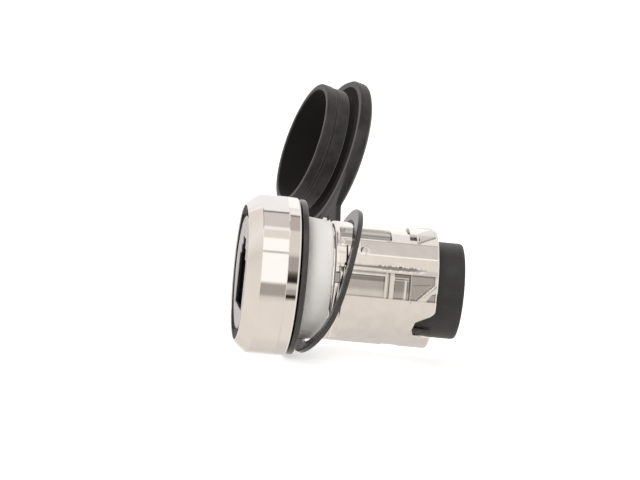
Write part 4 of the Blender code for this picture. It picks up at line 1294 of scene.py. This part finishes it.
def build_floor(s):
    """The floor. It glows to the camera alone, so that its colour there doesn't light the piece."""
    mesh = bpy.data.meshes.new("floor")
    w = FLOOR_HALF
    corners = [(x, y, s.floor) for x, y in ((-w, -w), (w, -w), (w, w), (-w, w))]
    mesh.from_pydata(corners, [], [(0, 1, 2, 3)])
    floor = bpy.data.objects.new("floor", mesh)
    bpy.context.scene.collection.objects.link(floor)
    floor.visible_glossy = False
    paint = bpy.data.materials.new("studio_floor")
    paint.use_nodes = True
    tree = paint.node_tree
    tree.nodes.remove(tree.nodes["Principled BSDF"])
    t = Tree(tree)
    out = tree.nodes["Material Output"]
    path = t.add("ShaderNodeLightPath")
    diffuse = t.add("ShaderNodeBsdfDiffuse")
    diffuse.inputs["Color"].default_value = (FLOOR_PAINT, FLOOR_PAINT, FLOOR_PAINT, 1)
    glow = t.add("ShaderNodeEmission")
    glow.inputs["Color"].default_value = (1, 1, 1, 1)
    glow.inputs["Strength"].default_value = FLOOR_GLOW
    seen = t.add("ShaderNodeAddShader")
    t.join(diffuse.outputs[0], seen.inputs[0])
    t.join(glow.outputs[0], seen.inputs[1])
    final = t.add("ShaderNodeMixShader")
    t.join(path.outputs["Is Camera Ray"], final.inputs[0])
    t.join(diffuse.outputs[0], final.inputs[1])
    t.join(seen.outputs[0], final.inputs[2])
    t.join(final.outputs[0], out.inputs["Surface"])
    mesh.materials.append(paint)


# Tones of the studio, in sRGB, as the plated metal mirrors them
TONES = {
    "white": (254, 251, 246),
    "pale": (240, 236, 236),
    "light": (232, 226, 220),
    "cream": (223, 214, 204),
    "sand": (214, 206, 197),
    "ash": (204, 198, 192),
    "clay": (178, 171, 162),
    "stone": (162, 155, 148),
    "slate": (116, 109, 102),
    "coal": (76, 70, 64),
    "soot": (46, 40, 36),
}
# Bands of those tones by the turn round the socket's axis, in degrees: 0 is the camera's side, 90 is up
MAIN_BANDS = (
    (-172, "pale"), (-140, "ash"), (-110, "sand"), (-95, "cream"), (-33, "cream"), (-28, "sand"),
    (-24, "ash"), (-20, "stone"), (-5, "stone"), (-2, "light"), (0, "white"), (40, "white"),
    (41.5, "clay"), (42.5, "clay"), (44.5, "white"), (62, "white"), (65, "cream"), (76.5, "cream"),
    (78, "pale"), (82, "pale"), (84, "ash"), (110, "ash"), (112.5, "slate"), (113.5, "slate"), (116, "pale"),
)
BARREL_BANDS = (
    (-160, "ash"), (-110, "ash"), (-60, "sand"), (-16, "cream"), (26, "cream"), (30, "ash"), (40, "ash"),
    (44, "cream"), (68, "cream"), (70, "white"), (79, "white"), (82, "ash"), (86, "ash"), (89, "clay"),
    (94, "clay"), (98, "light"), (126, "light"), (130, "white"), (170, "white"),
)
TAPER_BANDS = (
    (-172, "pale"), (-140, "ash"), (-95, "cream"), (-28, "cream"), (-26, "clay"), (-22.5, "soot"),
    (-19.5, "soot"), (-17, "stone"), (-12, "stone"), (-8, "ash"), (-3, "ash"), (0.5, "soot"), (6, "soot"),
    (10, "coal"), (14, "slate"), (18, "stone"), (36, "stone"), (40, "ash"), (45, "sand"), (78, "sand"),
    (81, "clay"), (106, "clay"), (108, "slate"), (109, "slate"), (112, "pale"),
)
EDGE_BANDS = (
    (-172, "pale"), (-150, "sand"), (-20, "light"), (76, "white"),
    (82, "slate"), (116, "slate"), (124, "pale"),
)
CHAMFER_BANDS = ((-170, "cream"), (0, "cream"), (60, "sand"), (100, "light"), (126, "cream"))
# Leans along the socket's axis, in degrees, between which one set of bands gives way to the next
TO_BARREL = (6.9, 7.3)
TO_TAPER = (9.3, 9.9)
TO_PLAIN = (13, 16)
TO_EDGE = (2, 4)
TO_CHAMFER = (-26, -22)
# The pale patch over the chamfer's top: the leans and the shares of a turn where it starts and ends
PALE_LEAN = (-30, -28.6)
PALE_TURN = (0.7, 0.8)
# How much of the light the plated metal gives back
PLATING = 0.92


def build_world(scene, s):
    """The studio as a polished surface sees it.

    The direction is split into a turn round the socket's axis and a lean along that axis. Bands by
    the turn stand for the walls, the soft boxes and the camera. The lean picks the set of bands: the
    front ring, the barrel and the ring's narrowing part mirror directions a few degrees apart.
    """
    world = bpy.data.worlds.new("studio")
    scene.world = world
    world.use_nodes = True
    tree = world.node_tree
    tree.nodes.clear()
    t = Tree(tree)
    out = t.add("ShaderNodeOutputWorld")
    split = t.add("ShaderNodeSeparateXYZ")
    t.join(t.add("ShaderNodeTexCoord").outputs["Generated"], split.inputs[0])
    turn = t.math("ARCTAN2", split.outputs["Z"], split.outputs["X"])
    share = t.math("MULTIPLY_ADD", turn, 1 / math.tau, 0.5)
    lean = t.math("MULTIPLY", t.math("ARCSINE", split.outputs["Y"]), 180 / math.pi)

    def tone(name):
        return tuple(value / PLATING for value in srgb(*TONES[name]))

    def bands(stops):
        return t.ramp(share, [(degrees / 360 + 0.5, tone(name)) for degrees, name in stops])

    colour = t.mix(t.smooth(lean, *TO_BARREL), bands(MAIN_BANDS), bands(BARREL_BANDS))
    colour = t.mix(t.smooth(lean, *TO_TAPER), colour, bands(TAPER_BANDS))
    colour = t.mix(t.smooth(lean, *TO_PLAIN), colour, tone("light"))
    colour = t.mix(t.smooth(lean, *TO_EDGE, 1.0, 0.0), colour, bands(EDGE_BANDS))
    chamfer = t.smooth(lean, *TO_CHAMFER, 1.0, 0.0)
    colour = t.mix(chamfer, colour, bands(CHAMFER_BANDS))
    high = t.math("SUBTRACT", t.smooth(lean, *PALE_LEAN), t.smooth(share, *PALE_TURN, 1.0, 0.0), clamp=True)
    colour = t.mix(t.math("MULTIPLY", high, chamfer), colour, tone("pale"))
    mirrored = t.add("ShaderNodeBackground")
    t.join(colour, mirrored.inputs["Color"])
    plain = t.add("ShaderNodeBackground")
    plain.inputs["Color"].default_value = (1, 1, 1, 1)
    soft = t.add("ShaderNodeBackground")
    soft.inputs["Color"].default_value = (1.0, 0.985, 0.965, 1)
    soft.inputs["Strength"].default_value = s.world
    path = t.add("ShaderNodeLightPath")
    first = t.add("ShaderNodeMixShader")
    t.join(path.outputs["Is Glossy Ray"], first.inputs[0])
    t.join(soft.outputs[0], first.inputs[1])
    t.join(mirrored.outputs[0], first.inputs[2])
    second = t.add("ShaderNodeMixShader")
    t.join(path.outputs["Is Camera Ray"], second.inputs[0])
    t.join(first.outputs[0], second.inputs[1])
    t.join(plain.outputs[0], second.inputs[2])
    t.join(second.outputs[0], out.inputs["Surface"])


def build_lights(s):
    """Two soft lights: a large one over the front and a smaller one beside the camera."""
    lamps = (
        ("top_light", (0.15, -0.25, 0.55), 0.35, s.top_power),
        ("side_light", (0.6, -0.3, 0.25), 0.3, s.side_power),
    )
    for name, place, size, power in lamps:
        data = bpy.data.lights.new(name, "AREA")
        data.size = size
        data.energy = power
        lamp = bpy.data.objects.new(name, data)
        lamp.location = place
        lamp.rotation_euler = (-Vector(place)).to_track_quat("-Z", "Y").to_euler()
        lamp.visible_glossy = False
        bpy.context.scene.collection.objects.link(lamp)


def build_camera(scene, s):
    """The photo's camera: it looks from an azimuth and elevation and is rolled, with a little side step."""
    level = math.cos(s.elevation)
    back = Vector((math.sin(s.azimuth) * level, -math.cos(s.azimuth) * level, math.sin(s.elevation)))
    right = Vector((math.cos(s.azimuth), math.sin(s.azimuth), 0.0))
    up = back.cross(right)
    c, d = math.cos(s.roll), math.sin(s.roll)
    across, upward = right * c + up * d, up * c - right * d
    data = bpy.data.cameras.new("camera")
    data.lens = s.focal
    data.sensor_width = 36.0
    data.clip_start, data.clip_end = 0.05, 20.0
    camera = bpy.data.objects.new("camera", data)
    matrix = Matrix((across, upward, back)).transposed().to_4x4()
    matrix.translation = back * s.distance - across * s.shift_x - upward * s.shift_y
    camera.matrix_world = matrix
    scene.collection.objects.link(camera)
    scene.camera = camera
    scene.view_settings.view_transform = "Standard"


class SOCKET_PT_panel(bpy.types.Panel):
    """Sizes and build buttons in the sidebar"""

    bl_idname = "SOCKET_PT_panel"
    bl_label = "Socket"
    bl_space_type = "VIEW_3D"
    bl_region_type = "UI"
    bl_category = "Socket"

    def draw(self, context):
        for attribute, _ in GROUPS:
            box = self.layout.box()
            group = getattr(context.scene, attribute)
            for key in group.__annotations__:
                box.prop(group, key)
        for operator in OPERATORS:
            self.layout.operator(operator.bl_idname)


GROUPS = (
    ("socket_bezel", BezelSizes),
    ("socket_seals", SealSizes),
    ("socket_barrel", BarrelSizes),
    ("socket_rubber", RubberSizes),
    ("socket_finish", FinishColours),
    ("socket_studio", StudioSizes),
)
OPERATORS = (
    SOCKET_OT_materials,
    SOCKET_OT_bezel,
    SOCKET_OT_seals,
    SOCKET_OT_barrel,
    SOCKET_OT_rubber,
    SOCKET_OT_inside,
    SOCKET_OT_stage,
)


def register():
    for attribute, group in GROUPS:
        bpy.utils.register_class(group)
        setattr(bpy.types.Scene, attribute, PointerProperty(type=group))
    for cls in (*OPERATORS, SOCKET_PT_panel):
        bpy.utils.register_class(cls)


def unregister():
    for cls in (SOCKET_PT_panel, *reversed(OPERATORS)):
        bpy.utils.unregister_class(cls)
    for attribute, group in reversed(GROUPS):
        delattr(bpy.types.Scene, attribute)
        bpy.utils.unregister_class(group)


def main():
    register()
    bpy.ops.socket.materials()
    bpy.ops.socket.bezel()
    bpy.ops.socket.seals()
    bpy.ops.socket.barrel()
    bpy.ops.socket.rubber()
    bpy.ops.socket.inside()
    bpy.ops.socket.stage()
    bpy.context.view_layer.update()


if __name__ == "__main__":
    main()
